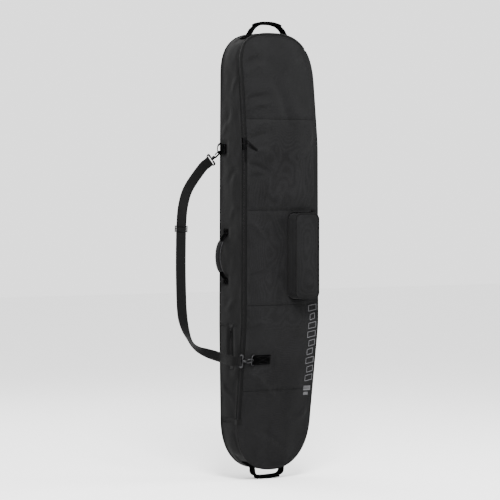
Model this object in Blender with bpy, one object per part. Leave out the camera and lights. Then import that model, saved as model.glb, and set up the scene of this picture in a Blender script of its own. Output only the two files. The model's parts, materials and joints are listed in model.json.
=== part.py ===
"""Padded bag for a snowboard, upright, with a fold-open front, pockets, handles and a clip-on strap.

Metres, +Z up. The origin is the inner crown of the top handle, which the bag hangs from.
The front faces -Y, the flat back faces +Y, the zipper runs down the -X side.
"""
import math

import bpy
import bmesh
from mathutils import Matrix, Vector
from mathutils.geometry import tessellate_polygon

# ---------------------------------------------------------------- driving dimensions
GAP = 0.0003                  # room left between touching pieces
CROWN_Z = -0.035              # highest point of the body, below the top handle
SHOULDER_Z = -0.205           # the rounded top ends here
KNEE_TOP_Z = -0.461           # full depth starts here
KNEE_LOW_Z = -1.150           # full depth ends here
HIP_Z = -1.507                # the rounded bottom starts here
FOOT_Z = -1.712               # lowest point of the body
SHOULDER_HALF = 0.166
KNEE_TOP_HALF = 0.168
KNEE_LOW_HALF = 0.171
HIP_HALF = 0.166
TOP_POWER = 2.7               # squareness of the rounded top
BOTTOM_POWER = 2.3            # squareness of the rounded bottom
ARC_STEPS = 9
ARC_START_DEG = 6.0
BACK_Y = 0.070
FRONT_PROFILE = [             # (z, y) knots of the front surface, top to bottom
    (CROWN_Z, -0.034),
    (SHOULDER_Z, -0.073),
    (KNEE_TOP_Z, -0.100),
    (KNEE_LOW_Z, -0.100),
    (HIP_Z, -0.052),
    (FOOT_Z, -0.030),
]

SKIN = 0.0012                 # woven outer fabric
FOAM = 0.0045
LINING = 0.0009
SKIN_IN = SKIN + GAP          # depth at which the foam starts
FOAM_IN = SKIN_IN + FOAM + GAP
WALL = FOAM_IN + LINING       # whole wall, outside to inside

FOLD_LOW_Z = -1.200           # the front folds on a straight line, from the zipper edge here
FOLD_HIGH_Z = -0.100          # to the opposite edge of the rounded top here
FOLD_AXIS_Y = -0.1045
FOLD_LAYER_ROOM = 0.007       # foam stops this far from the fold
FLAP_LAYER_INSET = 0.020      # foam of the flap stops this far from the zipper edge

TAPE_WIDTH = 0.0125
TAPE = 0.0008
COIL = 0.0025
ZIP_END_Z = -1.512
SLIDER_LENGTH = 0.020
UPPER_SLIDER_Z = -0.4485
LOWER_SLIDER_Z = -0.4735

WEBBING = 0.038               # width of strap and handle webbing
HANDLE_THICK = 0.0045
STRAP_THICK = 0.0016
HANDLE_Y = 0.0

POCKET_X = (0.031, 0.150)
POCKET_Z = (-1.054, -0.722)
POCKET_DEPTH = 0.050
POCKET_CORNER = 0.026

ID_ZIP_Y = -0.015
ID_ZIP_Z = (-1.307, -1.160)

# ---------------------------------------------------------------- scene and materials
for old in list(bpy.data.objects):
    bpy.data.objects.remove(old, do_unlink=True)

PALETTE = {                   # colour, roughness, metallic
    "fabric": ((0.040, 0.040, 0.043), 0.85, 0.0),
    "lining": ((0.085, 0.087, 0.092), 0.70, 0.0),
    "foam": ((0.16, 0.16, 0.16), 0.95, 0.0),
    "piping": ((0.022, 0.022, 0.024), 0.75, 0.0),
    "tape": ((0.018, 0.018, 0.019), 0.80, 0.0),
    "coil": ((0.20, 0.20, 0.21), 0.45, 0.0),
    "webbing": ((0.014, 0.014, 0.015), 0.65, 0.0),
    "gunmetal": ((0.16, 0.16, 0.17), 0.35, 1.0),
    "pull": ((0.020, 0.020, 0.021), 0.55, 0.0),
    "plastic": ((0.015, 0.015, 0.016), 0.45, 0.0),
}


def material_for(name, kind):
    """A material of its own for each piece, in the tone of its kind."""
    colour, rough, metal = PALETTE[kind]
    material = bpy.data.materials.new(name)
    material.use_nodes = True
    shader = material.node_tree.nodes["Principled BSDF"]
    shader.inputs["Base Color"].default_value = (*colour, 1.0)
    shader.inputs["Roughness"].default_value = rough
    shader.inputs["Metallic"].default_value = metal
    return material


# ---------------------------------------------------------------- moving bodies
PIVOTS = {"root": Vector((0.0, 0.0, 0.0))}
EMPTIES = {}


def add_body(name, pivot, parent="root"):
    """An empty on the joint's axis, which the body's pieces hang from."""
    PIVOTS[name] = Vector(pivot)
    empty = bpy.data.objects.new("axis_" + name, None)
    empty.empty_display_size = 0.03
    bpy.context.collection.objects.link(empty)
    if parent in EMPTIES:
        empty.parent = EMPTIES[parent]
    empty.location = PIVOTS[name] - PIVOTS[parent]
    EMPTIES[name] = empty


def add_piece(name, corners, faces, kind, body="root", smooth=False):
    """One closed solid from world corners, hung from its body's empty."""
    pivot = PIVOTS[body]
    mesh = bpy.data.meshes.new(name)
    mesh.from_pydata([Vector(corner) - pivot for corner in corners], [], faces)
    work = bmesh.new()
    work.from_mesh(mesh)
    bmesh.ops.recalc_face_normals(work, faces=work.faces)
    work.to_mesh(mesh)
    work.free()
    mesh.materials.append(material_for(name, kind))
    if smooth:
        mesh.shade_smooth()
        mesh.set_sharp_from_angle(angle=math.radians(40))
    piece = bpy.data.objects.new(name, mesh)
    bpy.context.collection.objects.link(piece)
    if body in EMPTIES:
        piece.parent = EMPTIES[body]
    return piece


def join_solids(piece, tools):
    """Boolean union of a piece with helper solids, which stay as hidden guides."""
    for tool in tools:
        tool.hide_render = True
        tool.display_type = "WIRE"
        union = piece.modifiers.new("join_" + tool.name, "BOOLEAN")
        union.operation = "UNION"
        union.solver = "EXACT"
        union.object = tool


# ---------------------------------------------------------------- shape helpers
def loft(name, rings, kind, body="root", closed=False, smooth=False):
    """Skin over rings of equal point count; open lofts get flat ends."""
    count = len(rings[0])
    corners = [point for ring in rings for point in ring]
    faces = []
    spans = len(rings) if closed else len(rings) - 1
    for span in range(spans):
        near = span * count
        far = ((span + 1) % len(rings)) * count
        for k in range(count):
            nxt = (k + 1) % count
            faces.append((near + k, near + nxt, far + nxt, far + k))
    if not closed:
        faces.append(tuple(reversed(range(count))))
        faces.append(tuple(range((len(rings) - 1) * count, len(rings) * count)))
    return add_piece(name, corners, faces, kind, body, smooth)


def plate(name, outlines, place, depth, kind, body="root"):
    """Flat plate: outlines are (u, v) loops, the first the edge, the others holes."""
    loops = [[Vector((u, v, 0.0)) for u, v in outline] for outline in outlines]
    flat = [point for loop in loops for point in loop]
    triangles = tessellate_polygon(loops)
    low = [place @ point for point in flat]
    high = [place @ (point + Vector((0.0, 0.0, depth))) for point in flat]
    total = len(flat)
    faces = [tuple(t) for t in triangles]
    faces += [tuple(k + total for k in reversed(t)) for t in triangles]
    start = 0
    for loop in loops:
        count = len(loop)
        for k in range(count):
            a = start + k
            b = start + (k + 1) % count
            faces.append((a, b, b + total, a + total))
        start += count
    return add_piece(name, low + high, faces, kind, body)


def box(name, low, high, place, kind, body="root"):
    """A block between two corners of the local frame place."""
    rings = []
    for w in (low[2], high[2]):
        spots = [(low[0], low[1]), (high[0], low[1]), (high[0], high[1]), (low[0], high[1])]
        rings.append([place @ Vector((u, v, w)) for u, v in spots])
    return loft(name, rings, kind, body)


def frame_at(origin, u_axis, v_axis):
    """Local frame with the given u and v axes; w is their cross product."""
    u = Vector(u_axis).normalized()
    w = u.cross(Vector(v_axis)).normalized()
    v = w.cross(u)
    turn = Matrix((u, v, w)).transposed()
    return Matrix.Translation(Vector(origin)) @ turn.to_4x4()


def tangents_of(points, closed):
    """Unit tangent at each point of a path."""
    count = len(points)
    result = []
    for k in range(count):
        if closed:
            ahead = points[(k + 1) % count]
            behind = points[k - 1]
        else:
            ahead = points[min(k + 1, count - 1)]
            behind = points[max(k - 1, 0)]
        result.append((ahead - behind).normalized())
    return result


def tube(name, points, radius, side_axis, kind, body="root", closed=False, sides=8):
    """Round bar along a flat path; side_axis is the normal of the path's plane."""
    points = [Vector(point) for point in points]
    normal = Vector(side_axis).normalized()
    rings = []
    for point, tangent in zip(points, tangents_of(points, closed)):
        across = tangent.cross(normal).normalized()
        ring = []
        for k in range(sides):
            turn = 2 * math.pi * (k + 0.5) / sides
            ring.append(point + radius * (math.cos(turn) * across + math.sin(turn) * normal))
        rings.append(ring)
    return loft(name, rings, kind, body, closed, smooth=True)


def ribbon(name, points, widths, half_width, thick, kind, body="root"):
    """Flat webbing along points, its width along the vector given at each point."""
    points = [Vector(point) for point in points]
    rings = []
    for point, tangent, wide in zip(points, tangents_of(points, False), widths):
        across = (Vector(wide) - Vector(wide).dot(tangent) * tangent).normalized()
        normal = tangent.cross(across)
        rings.append([
            point - half_width * across - 0.5 * thick * normal,
            point + half_width * across - 0.5 * thick * normal,
            point + half_width * across + 0.5 * thick * normal,
            point - half_width * across + 0.5 * thick * normal,
        ])
    return loft(name, rings, kind, body)


def smooth_path(values, steps):
    """Catmull-Rom curve through vectors, each stretch cut into steps."""
    values = [Vector(value) for value in values]
    ends = [2 * values[0] - values[1]] + values + [2 * values[-1] - values[-2]]
    result = []
    for k in range(len(values) - 1):
        a, b, c, d = ends[k:k + 4]
        for step in range(steps):
            t = step / steps
            result.append(0.5 * (2 * b + (c - a) * t + (2 * a - 5 * b + 4 * c - d) * t ** 2
                                 + (3 * b - a - 3 * c + d) * t ** 3))
    result.append(values[-1])
    return result


def circle(centre, radius, steps=16):
    """Loop of (u, v) points."""
    turns = [2 * math.pi * k / steps for k in range(steps)]
    return [(centre[0] + radius * math.cos(t), centre[1] + radius * math.sin(t)) for t in turns]


def rounded_box(low, high, radius, steps=4):
    """Rounded rectangle loop of (u, v) points, anticlockwise."""
    centres = [(high[0] - radius, high[1] - radius), (low[0] + radius, high[1] - radius),
               (low[0] + radius, low[1] + radius), (high[0] - radius, low[1] + radius)]
    loop = []
    for quarter, (u, v) in enumerate(centres):
        for step in range(steps + 1):
            turn = math.pi / 2 * (quarter + step / steps)
            loop.append((u + radius * math.cos(turn), v + radius * math.sin(turn)))
    return loop


def solve(value, low, high):
    """Where value crosses zero between low and high."""
    rising = value(high) > value(low)
    for _ in range(60):
        middle = 0.5 * (low + high)
        if (value(middle) > 0.0) == rising:
            high = middle
        else:
            low = middle
    return 0.5 * (low + high)


# ---------------------------------------------------------------- body outline
def interpolate(knots, z):
    """Second value of (z, value) knots, which run from high z to low z."""
    for (z_high, at_high), (z_low, at_low) in zip(knots, knots[1:]):
        if z >= z_low:
            return at_high + (at_low - at_high) * (z_high - z) / (z_high - z_low)
    return knots[-1][1]


def front_y(z):
    """Front surface of the bag at height z."""
    return interpolate(FRONT_PROFILE, z)


def rounded_end(half, centre_z, end_z, power):
    """Quarter of a squared ellipse, from the end to the side, as (x, z)."""
    points = []
    for step in range(ARC_STEPS + 1):
        turn = math.radians(ARC_START_DEG + (90.0 - ARC_START_DEG) * step / ARC_STEPS)
        x = half * math.sin(turn) ** (2 / power)
        z = centre_z + (end_z - centre_z) * max(math.cos(turn), 0.0) ** (2 / power)
        points.append((x, z))
    return points


def half_outline(inset):
    """Right half of the outline, top to bottom, as (x, z), moved inward by inset."""
    base = rounded_end(SHOULDER_HALF, SHOULDER_Z, CROWN_Z, TOP_POWER)
    base += [(KNEE_TOP_HALF, KNEE_TOP_Z), (KNEE_LOW_HALF, KNEE_LOW_Z)]
    base += reversed(rounded_end(HIP_HALF, HIP_Z, FOOT_Z, BOTTOM_POWER))
    mirrored_top = (-base[0][0], base[0][1])
    mirrored_foot = (-base[-1][0], base[-1][1])
    chain = [mirrored_top] + base + [mirrored_foot]
    moved = []
    for before, here, after in zip(chain, chain[1:], chain[2:]):
        first = Vector((here[0] - before[0], here[1] - before[1])).normalized()
        second = Vector((after[0] - here[0], after[1] - here[1])).normalized()
        along = (first + second).normalized()
        reach = inset / along.dot(first)
        moved.append((here[0] + along.y * reach, here[1] - along.x * reach))
    return moved


def ring_outline(inset):
    """Whole outline: up the left side, over the top, down the right side."""
    right = half_outline(inset)
    left = [(-x, z) for x, z in reversed(right)]
    return left + right


HALF_COUNT = len(half_outline(0.0))


def edge_x(z, inset=0.0):
    """Half width of the outline at height z."""
    return interpolate([(pz, px) for px, pz in half_outline(inset)], z)


def left_station(z):
    """Position along ring_outline where the left side passes height z."""
    zs = [pz for _, pz in ring_outline(0.0)[:HALF_COUNT]]
    for k in range(HALF_COUNT - 1):
        if zs[k] <= z <= zs[k + 1]:
            return k + (z - zs[k]) / (zs[k + 1] - zs[k])
    return float(HALF_COUNT - 1)


def right_station(z):
    """The same on the right side."""
    return 2 * HALF_COUNT - 1 - left_station(z)


def along_outline(loop, station):
    """Point of a ring_outline at a fractional position."""
    k = int(math.floor(station))
    share = station - k
    a = loop[k % len(loop)]
    b = loop[(k + 1) % len(loop)]
    return (a[0] + (b[0] - a[0]) * share, a[1] + (b[1] - a[1]) * share)


def stations_between(start, end):
    """start, the whole positions inside, and end."""
    return [start] + [float(k) for k in range(int(start) + 1, math.ceil(end))] + [end]


def band(name, start, end, inset_out, inset_in, y_front, y_back, kind, body="root"):
    """Strip along the outline; y_front and y_back give depth from height."""
    closed = start is None
    outer = ring_outline(inset_out)
    inner = ring_outline(inset_in)
    stations = [float(k) for k in range(len(outer))] if closed else stations_between(start, end)
    rings = []
    for station in stations:
        xo, zo = along_outline(outer, station)
        xi, zi = along_outline(inner, station)
        rings.append([(xo, y_front(zo), zo), (xi, y_front(zi), zi),
                      (xi, y_back(zi), zi), (xo, y_back(zo), zo)])
    return loft(name, rings, kind, body, closed)


def behind_front(depth):
    """Surface at a depth behind the front surface."""
    return lambda z: front_y(z) + depth


def flat_at(y):
    """Upright plane."""
    return lambda z: y


# ---------------------------------------------------------------- fold line of the flap
FOLD_LOW = Vector((-edge_x(FOLD_LOW_Z), FOLD_AXIS_Y, FOLD_LOW_Z))
FOLD_HIGH = Vector((edge_x(FOLD_HIGH_Z), FOLD_AXIS_Y, FOLD_HIGH_Z))


def fold_x(z):
    """The fold line's x at height z."""
    share = (z - FOLD_LOW_Z) / (FOLD_HIGH_Z - FOLD_LOW_Z)
    return FOLD_LOW.x + (FOLD_HIGH.x - FOLD_LOW.x) * share


def front_layer(name, is_flap, inset, room, depth, thick, kind, body):
    """One layer of the front, on either side of the fold line, as rows across."""
    heights = [z for _, z in half_outline(inset)]
    top = heights[0]
    foot = heights[-1]
    tip = 0.006

    def width_left_of_fold(z):
        return fold_x(z) - room + edge_x(z, inset) - tip

    def width_right_of_fold(z):
        return edge_x(z, inset) - fold_x(z) - room - tip

    if is_flap:
        end = solve(width_left_of_fold, FOLD_LOW_Z - 0.1, FOLD_LOW_Z + 0.25)
        meet = solve(lambda z: edge_x(z, inset) - fold_x(z) + room, SHOULDER_Z, top)
        rows = [top] + [z for z in heights if end < z < top] + [meet, end]
    else:
        end = solve(width_right_of_fold, SHOULDER_Z - 0.15, top)
        meet = solve(lambda z: fold_x(z) + room + edge_x(z, inset), FOLD_LOW_Z - 0.2, FOLD_LOW_Z + 0.1)
        rows = [end] + [z for z in heights if foot < z < end] + [meet, foot]
    rings = []
    for z in sorted(rows, reverse=True):
        reach = edge_x(z, inset)
        left = -reach if is_flap else max(-reach, fold_x(z) + room)
        right = min(reach, fold_x(z) - room) if is_flap else reach
        y = front_y(z) + depth
        rings.append([(left, y, z), (right, y, z), (right, y + thick, z), (left, y + thick, z)])
    loft(name, rings, kind, body)


def back_layer(name, inset, y, thick, kind):
    """One flat layer of the back."""
    outline = ring_outline(inset)
    place = Matrix.Translation(Vector((0.0, y, 0.0))) @ Matrix.Rotation(math.radians(90), 4, "X")
    plate(name, [outline], place, -thick, kind)


def make_shell():
    """Skin, padding and lining of the back, the gusset and the fixed front."""
    back_layer("back_panel", 0.0, BACK_Y - SKIN, SKIN, "fabric")
    back_layer("back_foam", WALL + GAP, BACK_Y - SKIN_IN - FOAM, FOAM, "foam")
    back_layer("back_lining", WALL + GAP, BACK_Y - WALL, LINING, "lining")
    front = behind_front(SKIN_IN)
    back = flat_at(BACK_Y - SKIN_IN)
    seam = 0.004
    hips = (left_station(HIP_Z), right_station(HIP_Z))
    shoulders = (left_station(SHOULDER_Z), right_station(SHOULDER_Z))
    count = 2 * HALF_COUNT
    spans = {
        "gusset_zip_side": (hips[0], shoulders[0]),
        "gusset_top": (shoulders[0] + seam, shoulders[1] - seam),
        "gusset_right_side": (shoulders[1], hips[1]),
        "gusset_bottom": (hips[1] + seam, hips[0] + count - seam),
    }
    for name, (start, end) in spans.items():
        band(name, start, end, 0.0, SKIN, front, back, "fabric")
    band("gusset_foam", None, None, SKIN_IN, SKIN_IN + FOAM, front, back, "foam")
    band("gusset_lining", None, None, FOAM_IN, WALL, front, back, "lining")
    front_layer("front_panel", False, 0.0, GAP, 0.0, SKIN, "fabric", "root")
    room = FOLD_LAYER_ROOM
    front_layer("front_foam", False, WALL + GAP, room, SKIN_IN, FOAM, "foam", "root")
    front_layer("front_lining", False, WALL + GAP, room, FOAM_IN, LINING, "lining", "root")
    band("back_piping", None, None, -0.0033, -GAP, flat_at(BACK_Y - 0.006), flat_at(BACK_Y - GAP),
         "piping")


def make_flap():
    """The part of the front that folds open."""
    front_layer("flap_panel", True, 0.0, GAP, 0.0, SKIN, "fabric", "flap")
    inset = FLAP_LAYER_INSET
    room = FOLD_LAYER_ROOM
    front_layer("flap_foam", True, inset, room, SKIN_IN, FOAM, "foam", "flap")
    front_layer("flap_lining", True, inset, room, FOAM_IN, LINING, "lining", "flap")


# ---------------------------------------------------------------- main zipper
def corner_frame(z, z_below):
    """On the front corner of the zipper side: u up the zipper, v outward, w forward."""
    here = Vector((-edge_x(z), front_y(z), z))
    below = Vector((-edge_x(z_below), front_y(z_below), z_below))
    return frame_at(here, here - below, (-1.0, 0.0, 0.0))


def make_zipper():
    """Tape on both sides of the front corner and the coil between."""
    start = left_station(ZIP_END_Z)
    fold_start = left_station(FOLD_LOW_Z)
    end = right_station(FOLD_HIGH_Z)
    split = 0.002
    outside = behind_front(-GAP - TAPE)
    inside = behind_front(-GAP)
    band("zip_tape_front", start, fold_start - split, 0.0, TAPE_WIDTH, outside, inside, "tape")
    clear_of_fold = left_station(KNEE_LOW_Z)
    band("zip_tape_flap", clear_of_fold, end - 0.15, 0.0, TAPE_WIDTH, outside, inside, "tape", "flap")
    band("zip_tape_gusset", start, end, -GAP - TAPE, -GAP, behind_front(0.0),
         behind_front(TAPE_WIDTH), "tape")
    reach = -GAP - COIL
    ahead = behind_front(reach)
    band("zip_coil_front", start, fold_start - split, reach, -GAP, ahead, inside, "coil")
    band("zip_coil_flap", fold_start + split, end - 0.05, reach, -GAP, ahead, inside, "coil", "flap")
    patch = corner_frame(ZIP_END_Z - 0.012, ZIP_END_Z - 0.030)
    plate("zip_end_patch", [rounded_box((-0.010, -0.020), (0.010, -0.001), 0.003)],
          patch @ Matrix.Translation((0.0, 0.0, GAP)), 0.0012, "tape")


SLIDER_INNER = 0.0032         # from the corner to the slider's inner faces
SLIDER_OUTER = 0.0050
SLIDER_REACH = 0.0085
BRIDGE_RISE = 0.0040          # top of the bridge above the slider's plate
PULL_LIFT = 0.0012            # the pull's axis above the slider's plate


def make_slider(name, place, pull_place, body):
    """Angled slider over the coil, with a bridge in line with its pull."""
    inner = SLIDER_INNER
    outer = SLIDER_OUTER
    reach = SLIDER_REACH
    half = SLIDER_LENGTH / 2
    section = [(-reach, inner), (inner, inner), (inner, -reach), (outer, -reach),
               (outer, outer), (-reach, outer)]
    rings = [[place @ Vector((u, v, w)) for v, w in section] for u in (-half, half)]
    slider = loft(name, rings, "gunmetal", body)
    foot = -PULL_LIFT - 0.0005
    top = BRIDGE_RISE - PULL_LIFT
    bridge = [(-0.0048, foot), (-0.0048, top), (0.0048, top), (0.0048, foot),
              (0.0034, foot), (0.0034, top - 0.0013), (-0.0034, top - 0.0013), (-0.0034, foot)]
    spans = [[pull_place @ Vector((u, v, w)) for u, w in bridge] for v in (-0.0010, 0.0010)]
    bail = loft(name + "_bridge_guide", spans, "gunmetal", body)
    join_solids(slider, [bail])


def make_pull(prefix, place, body, metal_length, tab_length):
    """Metal puller with its cross bar under the bridge, then a soft tab; u along the pull."""
    half_thick = 0.0007
    low = place @ Matrix.Translation((0.0, 0.0, -half_thick))
    eye = rounded_box((half_thick, -0.0033), (0.0066, 0.0033), 0.0010)
    edge = rounded_box((-half_thick, -0.0052), (metal_length, 0.0052), 0.0006)
    plate(prefix + "_puller", [edge, eye], low, 2 * half_thick, "gunmetal", body)
    tab = rounded_box((metal_length + GAP, -0.0052), (metal_length + tab_length, 0.0052), 0.0030)
    plate(prefix + "_pull_tab", [tab], place @ Matrix.Translation((0.0, 0.0, -0.0013)), 0.0026, "pull", body)


def pull_frame(slider_place, direction):
    """Hinge under the bridge: u along the pull, w off the surface."""
    origin = slider_place @ Vector((0.0, -0.0035, SLIDER_OUTER + PULL_LIFT))
    forward = slider_place.to_3x3() @ Vector((0.0, 0.0, 1.0))
    along = Vector(direction) - Vector(direction).dot(forward) * forward
    return frame_at(origin, along, forward.cross(along))


UPPER_SLIDER_PLACE = corner_frame(UPPER_SLIDER_Z, KNEE_TOP_Z)
LOWER_SLIDER_PLACE = corner_frame(LOWER_SLIDER_Z, KNEE_LOW_Z)
UPPER_PULL_PLACE = pull_frame(UPPER_SLIDER_PLACE, (0.80, 0.0, -0.60))
LOWER_PULL_PLACE = pull_frame(LOWER_SLIDER_PLACE, (0.0, 0.0, -1.0))


# ---------------------------------------------------------------- accessory pocket
POCKET_Y = -0.100 - GAP
POCKET_FACE_Y = -0.100 - POCKET_DEPTH
POCKET_ZIP_Y = (-0.137, -0.117)
POCKET_ZIP_X = (0.062, 0.132)
POCKET_SLIDER = Vector((0.122, -0.127, POCKET_Z[1] + GAP + TAPE + GAP))


SMALL_SLIDER = 0.0035         # height of the small sliders
SMALL_PULL_HALF = 0.0008
SMALL_PULL_LIFT = 0.0014      # the pull's axis above its slider
POCKET_PULL_AT = POCKET_SLIDER + Vector((0.0, -0.001, SMALL_SLIDER + SMALL_PULL_LIFT))


def make_small_pull(name, place):
    """Short pull, hinged at its end on the v axis of place; it rides on the body of its name."""
    outline = rounded_box((-SMALL_PULL_HALF, -0.004), (0.030, 0.004), 0.0006)
    hole = rounded_box((0.0012, -0.002), (0.0052, 0.002), 0.001)
    low = place @ Matrix.Translation((0.0, 0.0, -SMALL_PULL_HALF))
    plate(name, [outline, hole], low, 2 * SMALL_PULL_HALF, "pull", name)


def pocket_ring(inset, y):
    """Outline of the pocket at depth y."""
    lean = 0.004 * (POCKET_Y - y) / POCKET_DEPTH
    low = (POCKET_X[0] + inset + lean, POCKET_Z[0] + inset)
    high = (POCKET_X[1] - inset - lean, POCKET_Z[1] - inset)
    return [(x, y, z) for x, z in rounded_box(low, high, POCKET_CORNER - inset)]


def make_pocket():
    """Box pocket sewn on the front, its zipper along the top."""
    rings = [
        pocket_ring(0.007, POCKET_FACE_Y + SKIN),
        pocket_ring(SKIN + 0.001, POCKET_FACE_Y + 0.006),
        pocket_ring(SKIN, POCKET_Y),
        pocket_ring(0.0, POCKET_Y),
        pocket_ring(0.0, POCKET_FACE_Y + 0.004),
        pocket_ring(0.004, POCKET_FACE_Y),
    ]
    loft("pocket_shell", rings, "fabric")
    rim = [Vector(point) for point in pocket_ring(-0.0004, POCKET_FACE_Y - 0.0001)]
    tube("pocket_piping", rim, 0.0014, (0.0, 1.0, 0.0), "piping", closed=True, sides=6)
    top = frame_at((0.0, 0.0, POCKET_Z[1] + GAP), (1.0, 0.0, 0.0), (0.0, 1.0, 0.0))
    box("pocket_zip_tape", (POCKET_ZIP_X[0], POCKET_ZIP_Y[0], 0.0), (POCKET_ZIP_X[1], POCKET_ZIP_Y[1], TAPE),
        top, "tape")
    box("pocket_slider", (-0.008, -0.0045, 0.0), (0.008, 0.0045, SMALL_SLIDER),
        Matrix.Translation(POCKET_SLIDER), "gunmetal", "pocket_slider")
    hang = frame_at(POCKET_PULL_AT, (0.0, -1.0, 0.0), (1.0, 0.0, 0.0))
    make_small_pull("pocket_pull", hang)


# ---------------------------------------------------------------- small gusset pocket
ID_BASE = Vector((-edge_x(ID_ZIP_Z[1]), ID_ZIP_Y, ID_ZIP_Z[1]))
ID_FOOT = Vector((-edge_x(ID_ZIP_Z[0]), ID_ZIP_Y, ID_ZIP_Z[0]))
ID_PLACE = frame_at(ID_BASE, ID_FOOT - ID_BASE, (0.0, 1.0, 0.0))
ID_SLIDER_HEIGHT = GAP + TAPE + GAP
ID_PULL_AT = ID_PLACE @ Vector((0.012, 0.0, -ID_SLIDER_HEIGHT - SMALL_SLIDER - SMALL_PULL_LIFT))


def make_id_pocket():
    """Upright zipper on the gusset and the flat pouch behind it."""
    length = (ID_FOOT - ID_BASE).length
    tape_low = (0.0, -0.009, -GAP - TAPE)
    tape_high = (length, 0.009, -GAP)
    box("id_zip_tape", tape_low, tape_high, ID_PLACE, "tape")
    slider_low = (0.004, -0.0045, -ID_SLIDER_HEIGHT - SMALL_SLIDER)
    slider_high = (0.020, 0.0045, -ID_SLIDER_HEIGHT)
    box("id_slider", slider_low, slider_high, ID_PLACE, "gunmetal", "id_slider")
    hang = frame_at(ID_PULL_AT, ID_FOOT - ID_BASE, (0.0, -1.0, 0.0))
    make_small_pull("id_pull", hang)
    pouch_low = left_station(ID_ZIP_Z[0] - 0.015)
    pouch_high = left_station(ID_ZIP_Z[1])
    band("id_pocket_pouch", pouch_low, pouch_high, WALL + GAP, WALL + 0.0026,
         flat_at(-0.045), flat_at(0.030), "lining")


# ---------------------------------------------------------------- handles
def mirrored_path(half_path, axis):
    """A half path from its foot to its middle, then the same back, mirrored on an axis."""
    other = [Vector(point) for point in reversed(half_path[:-1])]
    for point in other:
        point[axis] = -point[axis]
    return [Vector(point) for point in half_path] + other


def surface_point(x, lift, upper):
    """Point on the top or the bottom of the body at x, lifted off it."""
    half, centre, end, power = (SHOULDER_HALF, SHOULDER_Z, CROWN_Z, TOP_POWER) if upper else \
        (HIP_HALF, HIP_Z, FOOT_Z, BOTTOM_POWER)
    rise = (end - centre) * (1 - abs(x / half) ** power) ** (1 / power)
    return Vector((x, HANDLE_Y, centre + rise + (lift if upper else -lift)))


def make_top_handle():
    """Webbing grab handle; its inner crown is the origin."""
    lift = GAP + HANDLE_THICK / 2 + 0.0006
    half = [surface_point(-0.112, lift, True), surface_point(-0.099, lift, True),
            surface_point(-0.087, lift + 0.001, True), Vector((-0.078, HANDLE_Y, -0.0335)),
            Vector((-0.069, HANDLE_Y, -0.0200)), Vector((-0.050, HANDLE_Y, -0.0055)),
            Vector((-0.024, HANDLE_Y, 0.0012)), Vector((0.0, HANDLE_Y, HANDLE_THICK / 2))]
    path = smooth_path(mirrored_path(half, 0), 2)
    ribbon("top_handle", path, [(0.0, 1.0, 0.0)] * len(path), WEBBING / 2, HANDLE_THICK, "webbing")


BOTTOM_AXIS_Z = -1.7030


def make_bottom_handle():
    """Webbing loop below the body, free to swing, and its two sewn ends."""
    half = [Vector((-0.067, HANDLE_Y, BOTTOM_AXIS_Z - 0.0075)), Vector((-0.062, HANDLE_Y, -1.7225)),
            Vector((-0.042, HANDLE_Y, -1.7345)), Vector((0.0, HANDLE_Y, -1.7390))]
    path = smooth_path(mirrored_path(half, 0), 3)
    ribbon("bottom_handle", path, [(0.0, 1.0, 0.0)] * len(path), WEBBING / 2, HANDLE_THICK, "webbing",
           "bottom_handle")
    for side, sign in (("left", -1), ("right", 1)):
        foot = [surface_point(sign * x, GAP + 0.0016, False) for x in (0.098, 0.088, 0.079, 0.070)]
        ribbon("bottom_handle_anchor_" + side, foot, [(0.0, 1.0, 0.0)] * 4, WEBBING / 2, 0.0022, "webbing")


SIDE_HANDLE_Z = -0.890
SIDE_HANDLE_Y = 0.025
SIDE_HALF_WIDTH = 0.014
SIDE_SURFACE_X = -edge_x(SIDE_HANDLE_Z + 0.10)
SIDE_AXIS_X = SIDE_SURFACE_X - 0.0040


def side_point(reach, rise):
    """Point of the side handle: how far off its axis, how far above its middle."""
    return Vector((SIDE_AXIS_X - reach, SIDE_HANDLE_Y, SIDE_HANDLE_Z + rise))


def make_side_handle():
    """Webbing loop on the gusset with a padded grip round it."""
    upper = [side_point(0.0065, 0.079), side_point(0.0170, 0.063), side_point(0.0290, 0.036),
             side_point(0.0340, 0.0)]
    lower = [side_point(0.0290, -0.036), side_point(0.0170, -0.063), side_point(0.0065, -0.079)]
    path = smooth_path(upper + lower, 4)
    wide = (0.0, 1.0, 0.0)
    ribbon("side_handle", path, [wide] * len(path), SIDE_HALF_WIDTH, 0.0030, "webbing", "side_handle")
    grip = path[5:-5]
    rings = []
    for point, tangent in zip(grip, tangents_of(grip, False)):
        across = Vector(wide)
        normal = tangent.cross(across).normalized()
        inner = [(-0.0145, -0.0019), (0.0145, -0.0019), (0.0145, 0.0019), (-0.0145, 0.0019)]
        outer = [(-0.0175, -0.0050), (0.0175, -0.0050), (0.0175, 0.0050), (-0.0175, 0.0050)]
        rings.append([[point + u * across + v * normal for u, v in loop] for loop in (outer, inner)])
    outside = [pair[0] for pair in rings]
    inside = [pair[1] for pair in reversed(rings)]
    loft("side_handle_wrap", outside + inside, "fabric", "side_handle", closed=True)
    for side, sign in (("upper", 1), ("lower", -1)):
        z_near = SIDE_HANDLE_Z + sign * 0.080
        z_far = SIDE_HANDLE_Z + sign * 0.106
        foot = [Vector((-edge_x(z) - GAP - 0.0010, SIDE_HANDLE_Y, z)) for z in (z_near, z_far)]
        ribbon("side_handle_anchor_" + side, foot, [wide] * 2, 0.016, 0.0018, "webbing")


# ---------------------------------------------------------------- rings and hooks
WIRE = 0.0020
RING_HALF = 0.0220
RING_DEPTH = 0.0180
TAB_HALF = 0.0180
TAB_OUTER = 0.0040
TAB_INNER = 0.0026


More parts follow.
